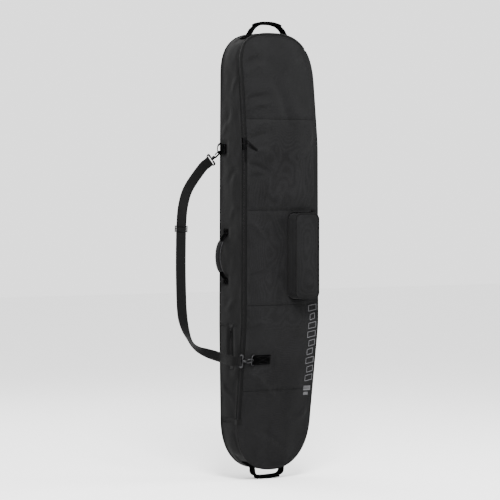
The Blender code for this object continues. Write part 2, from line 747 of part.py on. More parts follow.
def make_ring(name, place, body):
    """D-shaped ring: bar along v at the local origin, bow towards +u, flat in w."""
    bow = []
    for k in range(13):
        turn = math.radians(-90 + 15 * k)
        bow.append(place @ Vector((RING_DEPTH * math.cos(turn), RING_HALF * math.sin(turn), 0.0)))
    bar = [place @ Vector((0.0, v, 0.0)) for v in (0.012, 0.0, -0.012)]
    normal = place.to_3x3() @ Vector((0.0, 0.0, 1.0))
    tube(name, bow + bar, WIRE, normal, "gunmetal", body, closed=True)


def make_tab(name, place, leg):
    """Webbing tab round the ring's bar: leg towards -u, flat on w = -TAB_OUTER."""
    thick = 0.0022
    start = -math.pi / 2
    sweep = math.pi * 1.5 + math.asin((TAB_OUTER - thick) / TAB_OUTER)
    outline = [(-leg, -TAB_OUTER), (0.0, -TAB_OUTER)]
    for k in range(1, 14):
        turn = start + sweep * k / 13
        outline.append((TAB_OUTER * math.cos(turn), TAB_OUTER * math.sin(turn)))
    outline.append((-leg, thick - TAB_OUTER))
    side = place @ Matrix.Translation((0.0, TAB_HALF, 0.0)) @ Matrix.Rotation(math.radians(90), 4, "X")
    plate(name, [outline, circle((0.0, 0.0), TAB_INNER, 12)], side, 2 * TAB_HALF, "webbing")


HOOK_TOP = 0.056
HOOK_GRIP = 0.0058            # from the ring's wire to the middle of the hook's bow
HOOK_HALF = 0.0115
HOOK_WIRE = 0.0028
GATE_WIRE = 0.0022
HOOK_TILT = math.radians(46)
EYE_DEPTH = 0.011
EYE_HALF = 0.0230
BARREL = (0.0133, 0.0270)
GATE_FOOT = (0.0078, 0.0292)  # across and along the hook


def make_hook(prefix, place):
    """Swivel hook: u along the hook from its eye, v across the strap, w outward."""
    normal = place.to_3x3() @ Vector((0.0, 0.0, 1.0))
    frame = [place @ Vector((u, v, 0.0)) for u, v in rounded_box((0.0, -EYE_HALF), (EYE_DEPTH, EYE_HALF), 0.003, 2)]
    tube(prefix + "_hook_eye", frame, WIRE, normal, "gunmetal", closed=True)
    tilted = place @ Matrix.Rotation(HOOK_TILT, 4, "X")
    flat = tilted.to_3x3() @ Vector((0.0, 0.0, 1.0))
    body = prefix + "_hook"
    path = [(0.0240, 0.0), (0.0290, -0.0075), (0.0340, -HOOK_HALF), (0.0400, -HOOK_HALF)]
    bend = HOOK_TOP - HOOK_HALF
    for k in range(9):
        turn = math.radians(180 - 22.5 * k)
        path.append((bend + HOOK_HALF * math.sin(turn), HOOK_HALF * math.cos(turn)))
    path.append((0.0427, HOOK_HALF))
    bow = tube(prefix + "_bow_guide", [tilted @ Vector((u, v, 0.0)) for u, v in path], HOOK_WIRE, flat,
               "gunmetal", body)
    profile = [(BARREL[0], 0.0045), (BARREL[0] + 0.003, 0.0062), (BARREL[1] - 0.003, 0.0062), (BARREL[1], 0.0050)]
    rings = []
    for u, radius in profile:
        rings.append([place @ Vector((u, radius * math.cos(t), radius * math.sin(t)))
                      for t in [math.pi / 6 * (k + 0.4) for k in range(12)]])
    barrel = loft(prefix + "_hook", rings, "gunmetal", body, smooth=True)
    join_solids(barrel, [bow])
    gate = [(GATE_FOOT[1], GATE_FOOT[0]), (0.0345, HOOK_HALF), (0.0415, HOOK_HALF)]
    tube(prefix + "_hook_gate", [tilted @ Vector((u, v, 0.0)) for u, v in gate], GATE_WIRE, flat,
         "gunmetal", prefix + "_gate")


def gate_pivot(place):
    """Foot of the spring gate."""
    return place @ Matrix.Rotation(HOOK_TILT, 4, "X") @ Vector((GATE_FOOT[1], GATE_FOOT[0], 0.0))


UPPER_RING_Z = -0.478
UPPER_RING_Y = 0.054
UPPER_RING_AT = Vector((-edge_x(UPPER_RING_Z) - GAP - TAB_OUTER - 0.0002, UPPER_RING_Y, UPPER_RING_Z))
UPPER_RING_PLACE = frame_at(UPPER_RING_AT, (-1.0, 0.0, 0.0), (0.0, 0.0, 1.0))
UPPER_TAB_PLACE = frame_at(UPPER_RING_AT, (0.0, 1.0, 0.0), (0.0, 0.0, -1.0))
UPPER_PULL_WAY = Vector((0.783, 0.0, 0.622)).normalized()
UPPER_RING_TOUCH = UPPER_RING_AT + Vector((-RING_DEPTH * 0.717, 0.0, -RING_HALF * 0.697))
UPPER_EYE = UPPER_RING_TOUCH + (HOOK_GRIP - HOOK_TOP) * UPPER_PULL_WAY
UPPER_HOOK_PLACE = frame_at(UPPER_EYE, UPPER_PULL_WAY, (-0.622, 0.0, 0.783))

LOWER_RING_Z = -1.283
LOWER_RING_X = -0.1170
LOWER_RING_LIFT = math.radians(30.7)
SLOPE = math.atan2(front_y(HIP_Z) - front_y(KNEE_LOW_Z), KNEE_LOW_Z - HIP_Z)
SLOPE_UP = Vector((0.0, -math.sin(SLOPE), math.cos(SLOPE)))
SLOPE_OUT = Vector((0.0, -math.cos(SLOPE), -math.sin(SLOPE)))
LOWER_SURFACE = Vector((LOWER_RING_X, front_y(LOWER_RING_Z), LOWER_RING_Z))
LOWER_RING_AT = LOWER_SURFACE + (GAP + TAB_OUTER) * SLOPE_OUT
LOWER_TAB_PLACE = frame_at(LOWER_RING_AT, (-1.0, 0.0, 0.0), -SLOPE_UP)
LOWER_RING_WAY = math.sin(LOWER_RING_LIFT) * SLOPE_OUT + Vector((-math.cos(LOWER_RING_LIFT), 0.0, 0.0))
LOWER_RING_PLACE = frame_at(LOWER_RING_AT, LOWER_RING_WAY, -SLOPE_UP)
LOWER_RING_TOUCH = LOWER_RING_AT + RING_DEPTH * LOWER_RING_WAY
LOWER_PULL_WAY = (Vector((1.0, 0.0, 0.0)) + 0.07 * SLOPE_OUT).normalized()
LOWER_EYE = LOWER_RING_TOUCH + (HOOK_GRIP - HOOK_TOP) * LOWER_PULL_WAY
LOWER_HOOK_PLACE = frame_at(LOWER_EYE, LOWER_PULL_WAY, SLOPE_UP)


# ---------------------------------------------------------------- shoulder strap
STRAP_ROUTE = [               # middle of the webbing and its width direction
    (UPPER_EYE - 0.012 * UPPER_PULL_WAY, (0.62, 0.0, -0.78)),
    (UPPER_EYE - 0.045 * UPPER_PULL_WAY, (0.62, -0.05, -0.78)),
    ((-0.3180, 0.056, -0.627), (0.80, -0.25, -0.55)),
    ((-0.3440, 0.053, -0.689), (0.84, -0.45, -0.25)),
    ((-0.3560, 0.048, -0.760), (0.84, -0.54, 0.0)),
    ((-0.3610, 0.044, -0.860), (0.84, -0.54, 0.0)),
    ((-0.3635, 0.040, -0.967), (0.84, -0.54, 0.0)),
    ((-0.3590, 0.040, -1.090), (0.80, -0.60, 0.0)),
    ((-0.3470, 0.040, -1.155), (0.45, -0.89, 0.0)),
    ((-0.3230, 0.040, -1.208), (-0.05, -0.99, 0.05)),
    ((-0.2946, 0.040, -1.236), (0.0, -0.94, 0.35)),
    ((-0.2564, 0.036, -1.255), (0.10, -0.60, 0.79)),
    ((-0.2165, 0.012, -1.271), (0.0, 0.0, 1.0)),
    ((-0.2125, -0.045, -1.279), (0.0, 0.0, 1.0)),
    ((-0.2070, -0.078, -1.283), (0.0, -0.08, 0.99)),
    (LOWER_EYE - 0.010 * LOWER_PULL_WAY, SLOPE_UP),
]
STRAP_STEPS = 4
WRAP = 0.0031                 # radius of the webbing's turn round an eye's bar
RETURN_ROOM = 0.0032          # between the two layers of the doubled stretch
ADJUSTER_Z = -0.783


def strap_samples():
    """Points, width directions and face normals along the strap."""
    points = smooth_path([point for point, _ in STRAP_ROUTE], STRAP_STEPS)
    widths = smooth_path([Vector(wide) for _, wide in STRAP_ROUTE], STRAP_STEPS)
    samples = []
    for point, tangent, wide in zip(points, tangents_of(points, False), widths):
        across = (wide - wide.dot(tangent) * tangent).normalized()
        samples.append((point, across, tangent.cross(across)))
    return samples


def wrap_turn(eye, way, across, start_side, steps=6):
    """Half turn of webbing round an eye's bar, starting on the start_side."""
    points = []
    for k in range(steps + 1):
        turn = math.pi * k / steps
        points.append(eye + WRAP * (math.cos(turn) * start_side + math.sin(turn) * way))
    return [(point, across) for point in points]


def adjuster_frame():
    """Local frame of the adjuster: u down the strap, v across, w off its face."""
    samples = strap_samples()
    near = min(samples[:40], key=lambda sample: abs(sample[0].z - ADJUSTER_Z))
    after = samples[samples.index(near) + 1]
    before = samples[samples.index(near) - 1]
    down = (after[0] - before[0]).normalized()
    return frame_at(near[0], down, near[1])


ADJUSTER_PLACE = adjuster_frame()


def make_strap():
    """Doubled webbing to the upper eye, single webbing to the lower one."""
    samples = strap_samples()
    upper_across = Vector((0.62, 0.0, -0.78)).normalized()
    upper_face = (-UPPER_PULL_WAY).cross(upper_across).normalized()
    lower_face = LOWER_PULL_WAY.cross(SLOPE_UP).normalized()
    stop_z = ADJUSTER_PLACE.translation.z + 0.016
    doubled = [s for s in samples if s[0].z > stop_z]
    back = []
    for k, (point, across, normal) in enumerate(doubled):
        room = RETURN_ROOM + (WRAP - RETURN_ROOM) * max(0.0, 1 - k / 5)
        back.append((point - room * normal, across))
    path = list(reversed(back))
    path += wrap_turn(UPPER_EYE, UPPER_PULL_WAY, upper_across, -upper_face)
    for k, (point, across, normal) in enumerate(samples):
        room = WRAP * max(0.0, 1 - k / 9)
        last = WRAP * max(0.0, 1 - (len(samples) - 1 - k) / 5)
        path.append((point + (room + last) * normal, across))
    path += wrap_turn(LOWER_EYE, LOWER_PULL_WAY, SLOPE_UP, lower_face)
    path.append((LOWER_EYE - 0.006 * LOWER_PULL_WAY - WRAP * lower_face, SLOPE_UP))
    ribbon("strap_webbing", [p for p, _ in path], [w for _, w in path], WEBBING / 2, STRAP_THICK, "webbing")


def make_adjuster():
    """Three-bar glide round the strap, with the sewn end of the doubled stretch."""
    half = 0.0200
    rails = 0.0030
    place = ADJUSTER_PLACE
    front = (0.0014, 0.0040)
    rear = (-0.0050, 0.0040)
    frame = box("strap_adjuster", (-0.011, half, rear[0]), (0.011, half + rails, rear[1]), place, "gunmetal",
                "adjuster")
    parts = {
        "rail": ((-0.011, -half - rails, rear[0]), (0.011, -half, rear[1])),
        "top_bar": ((-0.011, -half - 0.001, front[0]), (-0.008, half + 0.001, front[1])),
        "low_bar": ((0.008, -half - 0.001, front[0]), (0.011, half + 0.001, front[1])),
        "mid_bar": ((-0.0015, -half - 0.001, rear[0]), (0.0015, half + 0.001, rear[0] + 0.0034)),
    }
    guides = [box("adjuster_" + name + "_guide", low, high, place, "gunmetal", "adjuster")
              for name, (low, high) in parts.items()]
    join_solids(frame, guides)
    tail = [place @ Vector((u, 0.0, -RETURN_ROOM)) for u in (-0.0018, -0.0060, -0.0110)]
    across = place.to_3x3() @ Vector((0.0, 1.0, 0.0))
    ribbon("adjuster_tail", tail, [across] * 3, WEBBING / 2, STRAP_THICK, "webbing", "adjuster")


# ---------------------------------------------------------------- assembly
add_body("flap", FOLD_LOW)
add_body("upper_slider", UPPER_SLIDER_PLACE.translation, "flap")
add_body("lower_slider", LOWER_SLIDER_PLACE.translation, "flap")
add_body("upper_pull", UPPER_PULL_PLACE.translation, "upper_slider")
add_body("lower_pull", LOWER_PULL_PLACE.translation, "lower_slider")
add_body("pocket_slider", POCKET_SLIDER)
add_body("pocket_pull", POCKET_PULL_AT, "pocket_slider")
add_body("id_slider", ID_BASE)
add_body("id_pull", ID_PULL_AT, "id_slider")
add_body("bottom_handle", (0.0, HANDLE_Y, BOTTOM_AXIS_Z))
add_body("side_handle", side_point(0.0, 0.0))
add_body("upper_ring", UPPER_RING_AT)
add_body("lower_ring", LOWER_RING_AT)
add_body("upper_hook", UPPER_EYE)
add_body("lower_hook", LOWER_EYE)
add_body("upper_gate", gate_pivot(UPPER_HOOK_PLACE), "upper_hook")
add_body("lower_gate", gate_pivot(LOWER_HOOK_PLACE), "lower_hook")
add_body("adjuster", ADJUSTER_PLACE.translation)

make_shell()
make_flap()
make_zipper()
make_slider("upper_slider", UPPER_SLIDER_PLACE, UPPER_PULL_PLACE, "upper_slider")
make_slider("lower_slider", LOWER_SLIDER_PLACE, LOWER_PULL_PLACE, "lower_slider")
make_pull("upper", UPPER_PULL_PLACE, "upper_pull", 0.026, 0.038)
make_pull("lower", LOWER_PULL_PLACE, "lower_pull", 0.022, 0.032)
make_pocket()
make_id_pocket()
make_top_handle()
make_bottom_handle()
make_side_handle()
make_ring("upper_dring", UPPER_RING_PLACE, "upper_ring")
make_ring("lower_dring", LOWER_RING_PLACE, "lower_ring")
make_tab("upper_dring_tab", UPPER_TAB_PLACE, 0.030)
make_tab("lower_dring_tab", LOWER_TAB_PLACE, 0.078)
make_hook("upper", UPPER_HOOK_PLACE)
make_hook("lower", LOWER_HOOK_PLACE)
make_strap()
make_adjuster()
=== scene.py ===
import json
import math

import bmesh
import bpy
from mathutils import Matrix, Vector, noise
from mathutils.geometry import tessellate_polygon


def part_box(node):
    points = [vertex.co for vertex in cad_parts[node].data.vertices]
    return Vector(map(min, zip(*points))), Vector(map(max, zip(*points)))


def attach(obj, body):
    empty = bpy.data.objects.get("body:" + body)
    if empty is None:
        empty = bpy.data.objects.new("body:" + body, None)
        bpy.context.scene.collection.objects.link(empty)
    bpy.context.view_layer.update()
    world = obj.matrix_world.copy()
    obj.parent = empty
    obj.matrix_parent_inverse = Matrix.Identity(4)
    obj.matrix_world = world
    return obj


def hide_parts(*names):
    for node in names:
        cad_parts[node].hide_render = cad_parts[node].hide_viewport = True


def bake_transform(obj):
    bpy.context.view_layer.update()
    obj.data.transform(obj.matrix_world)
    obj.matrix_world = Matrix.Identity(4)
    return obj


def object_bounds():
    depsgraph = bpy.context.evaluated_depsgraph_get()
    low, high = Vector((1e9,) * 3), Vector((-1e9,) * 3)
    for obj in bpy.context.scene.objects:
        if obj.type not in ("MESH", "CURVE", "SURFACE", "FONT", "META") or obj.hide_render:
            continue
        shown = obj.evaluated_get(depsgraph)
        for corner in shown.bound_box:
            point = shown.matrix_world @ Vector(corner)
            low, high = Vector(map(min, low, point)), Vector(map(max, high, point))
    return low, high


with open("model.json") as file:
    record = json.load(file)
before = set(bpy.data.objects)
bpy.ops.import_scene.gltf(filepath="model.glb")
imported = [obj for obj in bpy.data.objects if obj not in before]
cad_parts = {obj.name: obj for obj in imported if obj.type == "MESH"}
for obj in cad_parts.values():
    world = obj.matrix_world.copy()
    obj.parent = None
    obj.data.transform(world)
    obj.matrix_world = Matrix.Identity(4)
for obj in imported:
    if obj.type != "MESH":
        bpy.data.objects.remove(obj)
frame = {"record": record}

CAD_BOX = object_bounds()

# ---------------------------------------------------------------- the body's shape, as in the CAD
CROWN_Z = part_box("gusset_top")[1][2]
FOOT_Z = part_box("gusset_bottom")[0][2]
BACK_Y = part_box("back_panel")[1][1]
SHOULDER_Z, KNEE_TOP_Z, KNEE_LOW_Z, HIP_Z = -0.205, -0.461, -1.150, -1.507
SIDE_HALVES = [(SHOULDER_Z, 0.166), (KNEE_TOP_Z, 0.168), (KNEE_LOW_Z, 0.171), (HIP_Z, 0.166)]
FRONT_PROFILE = [(CROWN_Z, -0.034), (SHOULDER_Z, -0.073), (KNEE_TOP_Z, -0.100), (KNEE_LOW_Z, -0.100),
                 (HIP_Z, -0.052), (FOOT_Z, -0.030)]
TOP_POWER, BOTTOM_POWER = 2.7, 2.3
TAPE_WIDTH = 0.0125
ZIP_END_Z = -1.512
FRONT_SEAMS = (-0.365, -0.712, -1.075, -1.403)
GUSSET_SEAMS = (-1.155, -1.523)
JOINTS = {joint["name"]: joint for joint in frame["record"]["behaviour"]["joints"]}


# ---------------------------------------------------------------- materials
WAVE_UNIT = math.pi / 10      # scale of a wave texture whose bands are 1 m apart
YARN_PITCH = 0.0022           # spacing of the yarns that run along a webbing


class Nodes:
    """A Principled material with a short way to add and link nodes."""

    def __init__(self, name, rough, metal=0.0, shine=0.04):
        self.material = bpy.data.materials.new(name)
        self.material.use_nodes = True
        self.tree = self.material.node_tree
        self.shader = self.tree.nodes["Principled BSDF"]
        self.shader.inputs["Roughness"].default_value = rough
        self.shader.inputs["Metallic"].default_value = metal
        self.shader.inputs["Specular IOR Level"].default_value = shine
        self.coords = self.add("ShaderNodeTexCoord")

    def add(self, kind, **values):
        """A new node; values go to its inputs by name."""
        node = self.tree.nodes.new(kind)
        for key, value in values.items():
            node.inputs[key].default_value = value
        return node

    def link(self, source, target):
        self.tree.links.new(source, target)

    def noise(self, scale, detail=3.0, rough=0.55):
        node = self.add("ShaderNodeTexNoise", Scale=scale, Detail=detail, Roughness=rough)
        self.link(self.coords.outputs["Object"], node.inputs["Vector"])
        return node.outputs["Fac"]

    def wave(self, pitch, direction, source="Object"):
        """Bands pitch metres apart."""
        node = self.add("ShaderNodeTexWave", Scale=WAVE_UNIT / pitch)
        node.bands_direction = direction
        self.link(self.coords.outputs[source], node.inputs["Vector"])
        return node.outputs["Fac"]

    def math(self, operation, first, second):
        node = self.add("ShaderNodeMath")
        node.operation = operation
        for socket, value in zip(node.inputs, (first, second)):
            if isinstance(value, (int, float)):
                socket.default_value = value
            else:
                self.link(value, socket)
        return node.outputs[0]

    def mix(self, first, second, share):
        """Weighted sum of two factors; share is the weight of the first."""
        return self.math("ADD", self.math("MULTIPLY", first, share), self.math("MULTIPLY", second, 1 - share))

    def colour(self, factor, stops):
        ramp = self.add("ShaderNodeValToRGB")
        while len(ramp.color_ramp.elements) < len(stops):
            ramp.color_ramp.elements.new(0.5)
        for element, (position, rgb) in zip(ramp.color_ramp.elements, stops):
            element.position = position
            element.color = (*rgb, 1.0)
        self.link(factor, ramp.inputs["Fac"])
        self.link(ramp.outputs["Color"], self.shader.inputs["Base Color"])

    def rough(self, factor, low, high):
        node = self.add("ShaderNodeMapRange", **{"To Min": low, "To Max": high})
        self.link(factor, node.inputs["Value"])
        self.link(node.outputs[0], self.shader.inputs["Roughness"])

    def bump(self, heights):
        """heights are (factor, strength, distance); each bump feeds the next."""
        before = None
        for factor, strength, distance in heights:
            node = self.add("ShaderNodeBump", Strength=strength, Distance=distance)
            self.link(factor, node.inputs["Height"])
            if before:
                self.link(before, node.inputs["Normal"])
            before = node.outputs["Normal"]
        self.link(before, self.shader.inputs["Normal"])


COOL = 1.04                   # blue of every grey against its red and green


def grey(value):
    return (value, value, value * COOL)


def woven_fabric(name, dark, light, pitch=0.0011, sheen=0.03):
    """Plain weave: crossed ribs, a heathered yarn tone, and broad wear and dust."""
    m = Nodes(name, 0.85)
    weave = m.math("MULTIPLY", m.wave(pitch, "X"), m.wave(pitch, "Z"))
    cloth = m.mix(weave, m.wave(pitch, "Y"), 0.7)
    fine, coarse = m.noise(700.0, 2.0), m.noise(210.0, 2.0)
    yarn = m.mix(fine, coarse, 0.5)
    cloudy = m.noise(7.0, 4.0, 0.6)
    tone = m.mix(m.mix(yarn, cloudy, 0.6), cloth, 0.75)
    m.colour(tone, [(0.25, grey(dark)), (0.75, grey(light))])
    m.rough(cloudy, 0.72, 0.92)
    m.shader.inputs["Sheen Weight"].default_value = sheen
    m.shader.inputs["Sheen Roughness"].default_value = 0.45
    m.bump([(cloudy, 0.10, 0.004), (cloth, 0.35, 0.0004), (yarn, 0.20, 0.0003)])
    return m.material


def webbing(name, dark, light, rib=0.0016, sheen=0.03, shine=0.04):
    """Ribbed webbing: ribs across the length from the piece's own UVs, in metres."""
    m = Nodes(name, 0.62, 0.0, shine)
    weave = m.mix(m.wave(rib, "X", "UV"), m.wave(YARN_PITCH, "Y", "UV"), 0.6)
    grain = m.noise(500.0, 2.0)
    tone = m.mix(weave, grain, 0.5)
    m.colour(tone, [(0.2, grey(dark)), (0.8, grey(light))])
    m.rough(m.noise(60.0), 0.5, 0.72)
    m.shader.inputs["Sheen Weight"].default_value = sheen
    m.bump([(weave, 0.5, 0.0005), (grain, 0.15, 0.0003)])
    return m.material


def metal(name, tone, rough=0.32, edge=0.30):
    """Dark plated die-cast metal with fine scuffs; edge is its tint at a grazing look."""
    m = Nodes(name, rough, 1.0, 0.5)
    m.shader.inputs["Specular Tint"].default_value = (edge, edge, edge, 1.0)
    scuffs = m.noise(220.0, 5.0, 0.7)
    spots = m.noise(35.0, 3.0)
    m.colour(spots, [(0.3, grey(tone * 0.7)), (0.7, grey(tone))])
    m.rough(scuffs, rough * 0.7, rough * 1.5)
    m.bump([(scuffs, 0.08, 0.0004)])
    return m.material


def moulded(name, tone, rough=0.5, shine=0.12):
    """Moulded nylon or rubber with a satin grain."""
    m = Nodes(name, rough, 0.0, shine)
    grain = m.noise(1200.0, 2.0)
    patches = m.noise(40.0, 3.0)
    m.colour(patches, [(0.3, grey(tone * 0.75)), (0.7, grey(tone * 1.2))])
    m.rough(patches, rough * 0.85, rough * 1.2)
    m.bump([(grain, 0.15, 0.0003)])
    return m.material


FABRIC = woven_fabric("outer_weave", 0.0010, 0.0105)
# The gusset's cloth is the front's at about half the tone: painted shade on the sides.
SHADED_GUSSET_FABRIC = woven_fabric("gusset_weave", 0.0006, 0.0055)
LINING = woven_fabric("lining_weave", 0.025, 0.06, 0.0008, 0.05)
BINDING = woven_fabric("binding_weave", 0.0012, 0.0050, 0.0009)
TAPE = webbing("zip_tape_weave", 0.0008, 0.0034, 0.0010, 0.0)
# Near-black webbing for thin tubes that paint the shade in seam grooves and along the zipper tape's edges.
GROOVE_SHADE = webbing("painted_groove_shade_weave", 0.0004, 0.0012, 0.0010)
WEBBING = webbing("strap_webbing_weave", 0.0005, 0.0030)
HANDLE_WEBBING = webbing("handle_webbing_weave", 0.0004, 0.0016, 0.0016, 0.0, 0.0)
COIL = moulded("coil_nylon", 0.0065, 0.45, 0.05)
THREAD = moulded("thread", 0.0035, 0.65)
GUNMETAL = metal("gunmetal_plating", 0.035, 0.36)
# Near-black plating for the sliders, pullers and adjuster; on the upper ring, eye and hook it is painted
# shade, a darker copy of the gunmetal.
BLACK_PLATING_AND_SHADE = metal("black_plating_and_shade", 0.007, 0.40, 0.06)
FINISH_AND_SHADE = {"upper": BLACK_PLATING_AND_SHADE, "lower": GUNMETAL}      # painted shade: the upper ring, eye and hook get the near-black copy of the plating
BULK = {"upper": 1.0, "lower": 0.0}                   # the upper hook has the heavier casting
PULL = moulded("pull_rubber", 0.0015, 0.62, 0.02)
PRINT = woven_fabric("print_ink", 0.035, 0.090, 0.0011, 0.0)
EDGE_BINDING = woven_fabric("edge_binding_weave", 0.012, 0.035, 0.0009, 0.0)


# ---------------------------------------------------------------- mesh helpers
def make(name, corners, faces, material, uvs=None, smooth_deg=45):
    """A mesh piece; uvs gives one (u, v) for each corner of the mesh."""
    mesh = bpy.data.meshes.new(name)
    mesh.from_pydata([tuple(c) for c in corners], [], faces)
    if uvs:
        layer = mesh.uv_layers.new(name="length_and_width")
        for loop in mesh.loops:
            layer.data[loop.index].uv = uvs[loop.vertex_index]
    work = bmesh.new()
    work.from_mesh(mesh)
    bmesh.ops.recalc_face_normals(work, faces=work.faces)
    work.to_mesh(mesh)
    work.free()
    mesh.shade_smooth()
    mesh.set_sharp_from_angle(angle=math.radians(smooth_deg))
    mesh.materials.append(material)
    piece = bpy.data.objects.new(name, mesh)
    bpy.context.collection.objects.link(piece)
    return piece


def loft(name, rings, material, closed=False, uvs=None, smooth_deg=45):
    """Skin over rings of equal point count."""
    count = len(rings[0])
    faces = []
    for span in range(len(rings) if closed else len(rings) - 1):
        near, far = span * count, ((span + 1) % len(rings)) * count
        for k in range(count):
            nxt = (k + 1) % count
            faces.append((near + k, near + nxt, far + nxt, far + k))
    if not closed:
        faces.append(tuple(reversed(range(count))))
        faces.append(tuple(range((len(rings) - 1) * count, len(rings) * count)))
    corners = [point for ring in rings for point in ring]
    return make(name, corners, faces, material, uvs, smooth_deg)


def tangents(points, closed=False):
    count = len(points)
    result = []
    for k in range(count):
        ahead = points[(k + 1) % count] if closed else points[min(k + 1, count - 1)]
        behind = points[k - 1] if closed else points[max(k - 1, 0)]
        result.append((ahead - behind).normalized())
    return result


def tube(name, points, radius, side_axis, material, closed=False, sides=14):
    """Round bar along a path; radius is a number or one for each point."""
    points = [Vector(p) for p in points]
    radii = radius if isinstance(radius, list) else [radius] * len(points)
    rings = []
    for k, (point, tangent) in enumerate(zip(points, tangents(points, closed))):
        normal = Vector(side_axis[k] if isinstance(side_axis, list) else side_axis)
        across = tangent.cross(normal).normalized()
        normal = across.cross(tangent)
        turns = [2 * math.pi * j / sides for j in range(sides)]
        rings.append([point + radii[k] * (math.cos(t) * across + math.sin(t) * normal) for t in turns])
    return loft(name, rings, material, closed)


def ribbon(name, points, wide, half, thick, material):
    """Webbing with rounded selvedges; wide is its width direction, or one for each point."""
    points = [Vector(p) for p in points]
    widths = wide if isinstance(wide, list) else [wide] * len(points)
    shape = []
    for u in (-1.0, -0.92, -0.45, 0.0, 0.45, 0.92, 1.0):
        shape.append((u * half, 0.5 * thick * (0.35 if abs(u) == 1.0 else 1.0)))
    section = shape + [(u, -v) for u, v in reversed(shape)]
    rings, uvs, run = [], [], 0.0
    for k, (point, tangent, width) in enumerate(zip(points, tangents(points), widths)):
        if k:
            run += (point - points[k - 1]).length
        across = (Vector(width) - Vector(width).dot(tangent) * tangent).normalized()
        normal = tangent.cross(across)
        rings.append([point + u * across + v * normal for u, v in section])
        uvs += [(run, u) for u, _ in section]
    return loft(name, rings, material, uvs=uvs, smooth_deg=60)


def smooth_path(values, steps):
    """Catmull-Rom curve through vectors."""
    values = [Vector(value) for value in values]
    ends = [2 * values[0] - values[1]] + values + [2 * values[-1] - values[-2]]
    result = []
    for k in range(len(values) - 1):
        a, b, c, d = ends[k:k + 4]
        for step in range(steps):
            t = step / steps
            result.append(0.5 * (2 * b + (c - a) * t + (2 * a - 5 * b + 4 * c - d) * t ** 2
                                 + (3 * b - a - 3 * c + d) * t ** 3))
    result.append(values[-1])
    return result


def soften(piece, width, angle=40):
    """Rounded edges from a bevel."""
    bevel = piece.modifiers.new("soften", "BEVEL")
    bevel.width = width
    bevel.segments = 2
    bevel.limit_method = "ANGLE"
    bevel.angle_limit = math.radians(angle)
    return piece


def block(name, low, high, place, material, bevel=0.0006):
    """A softened block between two corners of the local frame place."""
    rings = []
    for w in (low[2], high[2]):
        spots = [(low[0], low[1]), (high[0], low[1]), (high[0], high[1]), (low[0], high[1])]
        rings.append([place @ Vector((u, v, w)) for u, v in spots])
    return soften(loft(name, rings, material, smooth_deg=30), bevel)


def frame_at(origin, u_axis, v_axis):
    """Local frame; w is the cross product of u and v."""
    u = Vector(u_axis).normalized()
    w = u.cross(Vector(v_axis)).normalized()
    turn = Matrix((u, w.cross(u), w)).transposed()
    return Matrix.Translation(Vector(origin)) @ turn.to_4x4()


def rounded_box(low, high, radius, steps=6):
    """Rounded rectangle loop of (u, v) points."""
    centres = [(high[0] - radius, high[1] - radius), (low[0] + radius, high[1] - radius),
               (low[0] + radius, low[1] + radius), (high[0] - radius, low[1] + radius)]
    loop = []
    for quarter, (u, v) in enumerate(centres):
        for step in range(steps + 1):
            turn = math.pi / 2 * (quarter + step / steps)
            loop.append((u + radius * math.cos(turn), v + radius * math.sin(turn)))
    return loop


def soft_round(half_u, half_v, power_u, power_v, sides):
    """Superellipse loop of (u, v) points; a power below 1 squares it off."""
    turns = [2 * math.pi * (j + 0.5) / sides for j in range(sides)]
    us = [half_u * math.copysign(abs(math.cos(t)) ** power_u, math.cos(t)) for t in turns]
    vs = [half_v * math.copysign(abs(math.sin(t)) ** power_v, math.sin(t)) for t in turns]
    return list(zip(us, vs))


def put(piece, body, *nodes, slot=None):
    """Ride on a body and stand for CAD nodes; slot is not used."""
    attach(piece, body)
    if nodes:
        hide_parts(*nodes)
    return piece


# ---------------------------------------------------------------- outline and surfaces of the body
def at_height(pairs, z):
    """Value at height z from (z, value) pairs that run downward."""
    for (high, above), (low, below) in zip(pairs, pairs[1:]):
        if z >= low:
            return above + (below - above) * max(0.0, (high - z) / (high - low))
    return pairs[-1][1]


def front_y(z):
    """Front surface, its bends eased over 60 mm."""
    return sum(at_height(FRONT_PROFILE, z + 0.01 * k) for k in range(-3, 4)) / 7


def half_width(z):
    """Half width of the body at height z."""
    if z > SHOULDER_Z:
        rise = min(1.0, (z - SHOULDER_Z) / (CROWN_Z - SHOULDER_Z))
        return SIDE_HALVES[0][1] * (1 - rise ** TOP_POWER) ** (1 / TOP_POWER)
    if z < HIP_Z:
        rise = min(1.0, (HIP_Z - z) / (HIP_Z - FOOT_Z))
        return SIDE_HALVES[-1][1] * (1 - rise ** BOTTOM_POWER) ** (1 / BOTTOM_POWER)
    return at_height(SIDE_HALVES, z)


def quarter(half, centre_z, end_z, power, steps):
    """Rounded end from its middle to the side, as (x, z)."""
    turns = [math.pi / 2 * k / steps for k in range(steps + 1)]
    rise = end_z - centre_z
    return [(half * math.sin(t) ** (2 / power), centre_z + rise * max(math.cos(t), 0.0) ** (2 / power))
            for t in turns]


def right_edge(steps):
    """Right half of the outline, top to bottom."""
    top = quarter(SIDE_HALVES[0][1], SHOULDER_Z, CROWN_Z, TOP_POWER, steps)
    foot = quarter(SIDE_HALVES[-1][1], HIP_Z, FOOT_Z, BOTTOM_POWER, steps)
    return top + [(half, z) for z, half in SIDE_HALVES[1:-1]] + foot[::-1]


STEP = 0.004                  # spacing of the outline's points
END_STEPS = 160               # steps in each quarter of the rounded ends


def even_loop():
    """The outline in even steps: from the foot's middle up the left side and down the right."""
    right = right_edge(END_STEPS)
    corners = [(-x, z) for x, z in reversed(right)] + right[1:]
    loop, owed = [], 0.0
    for (xa, za), (xb, zb) in zip(corners, corners[1:]):
        reach = math.hypot(xb - xa, zb - za)
        while owed < reach:
            loop.append((xa + (xb - xa) * owed / reach, za + (zb - za) * owed / reach))
            owed += STEP
        owed -= reach
    return loop[:-1]


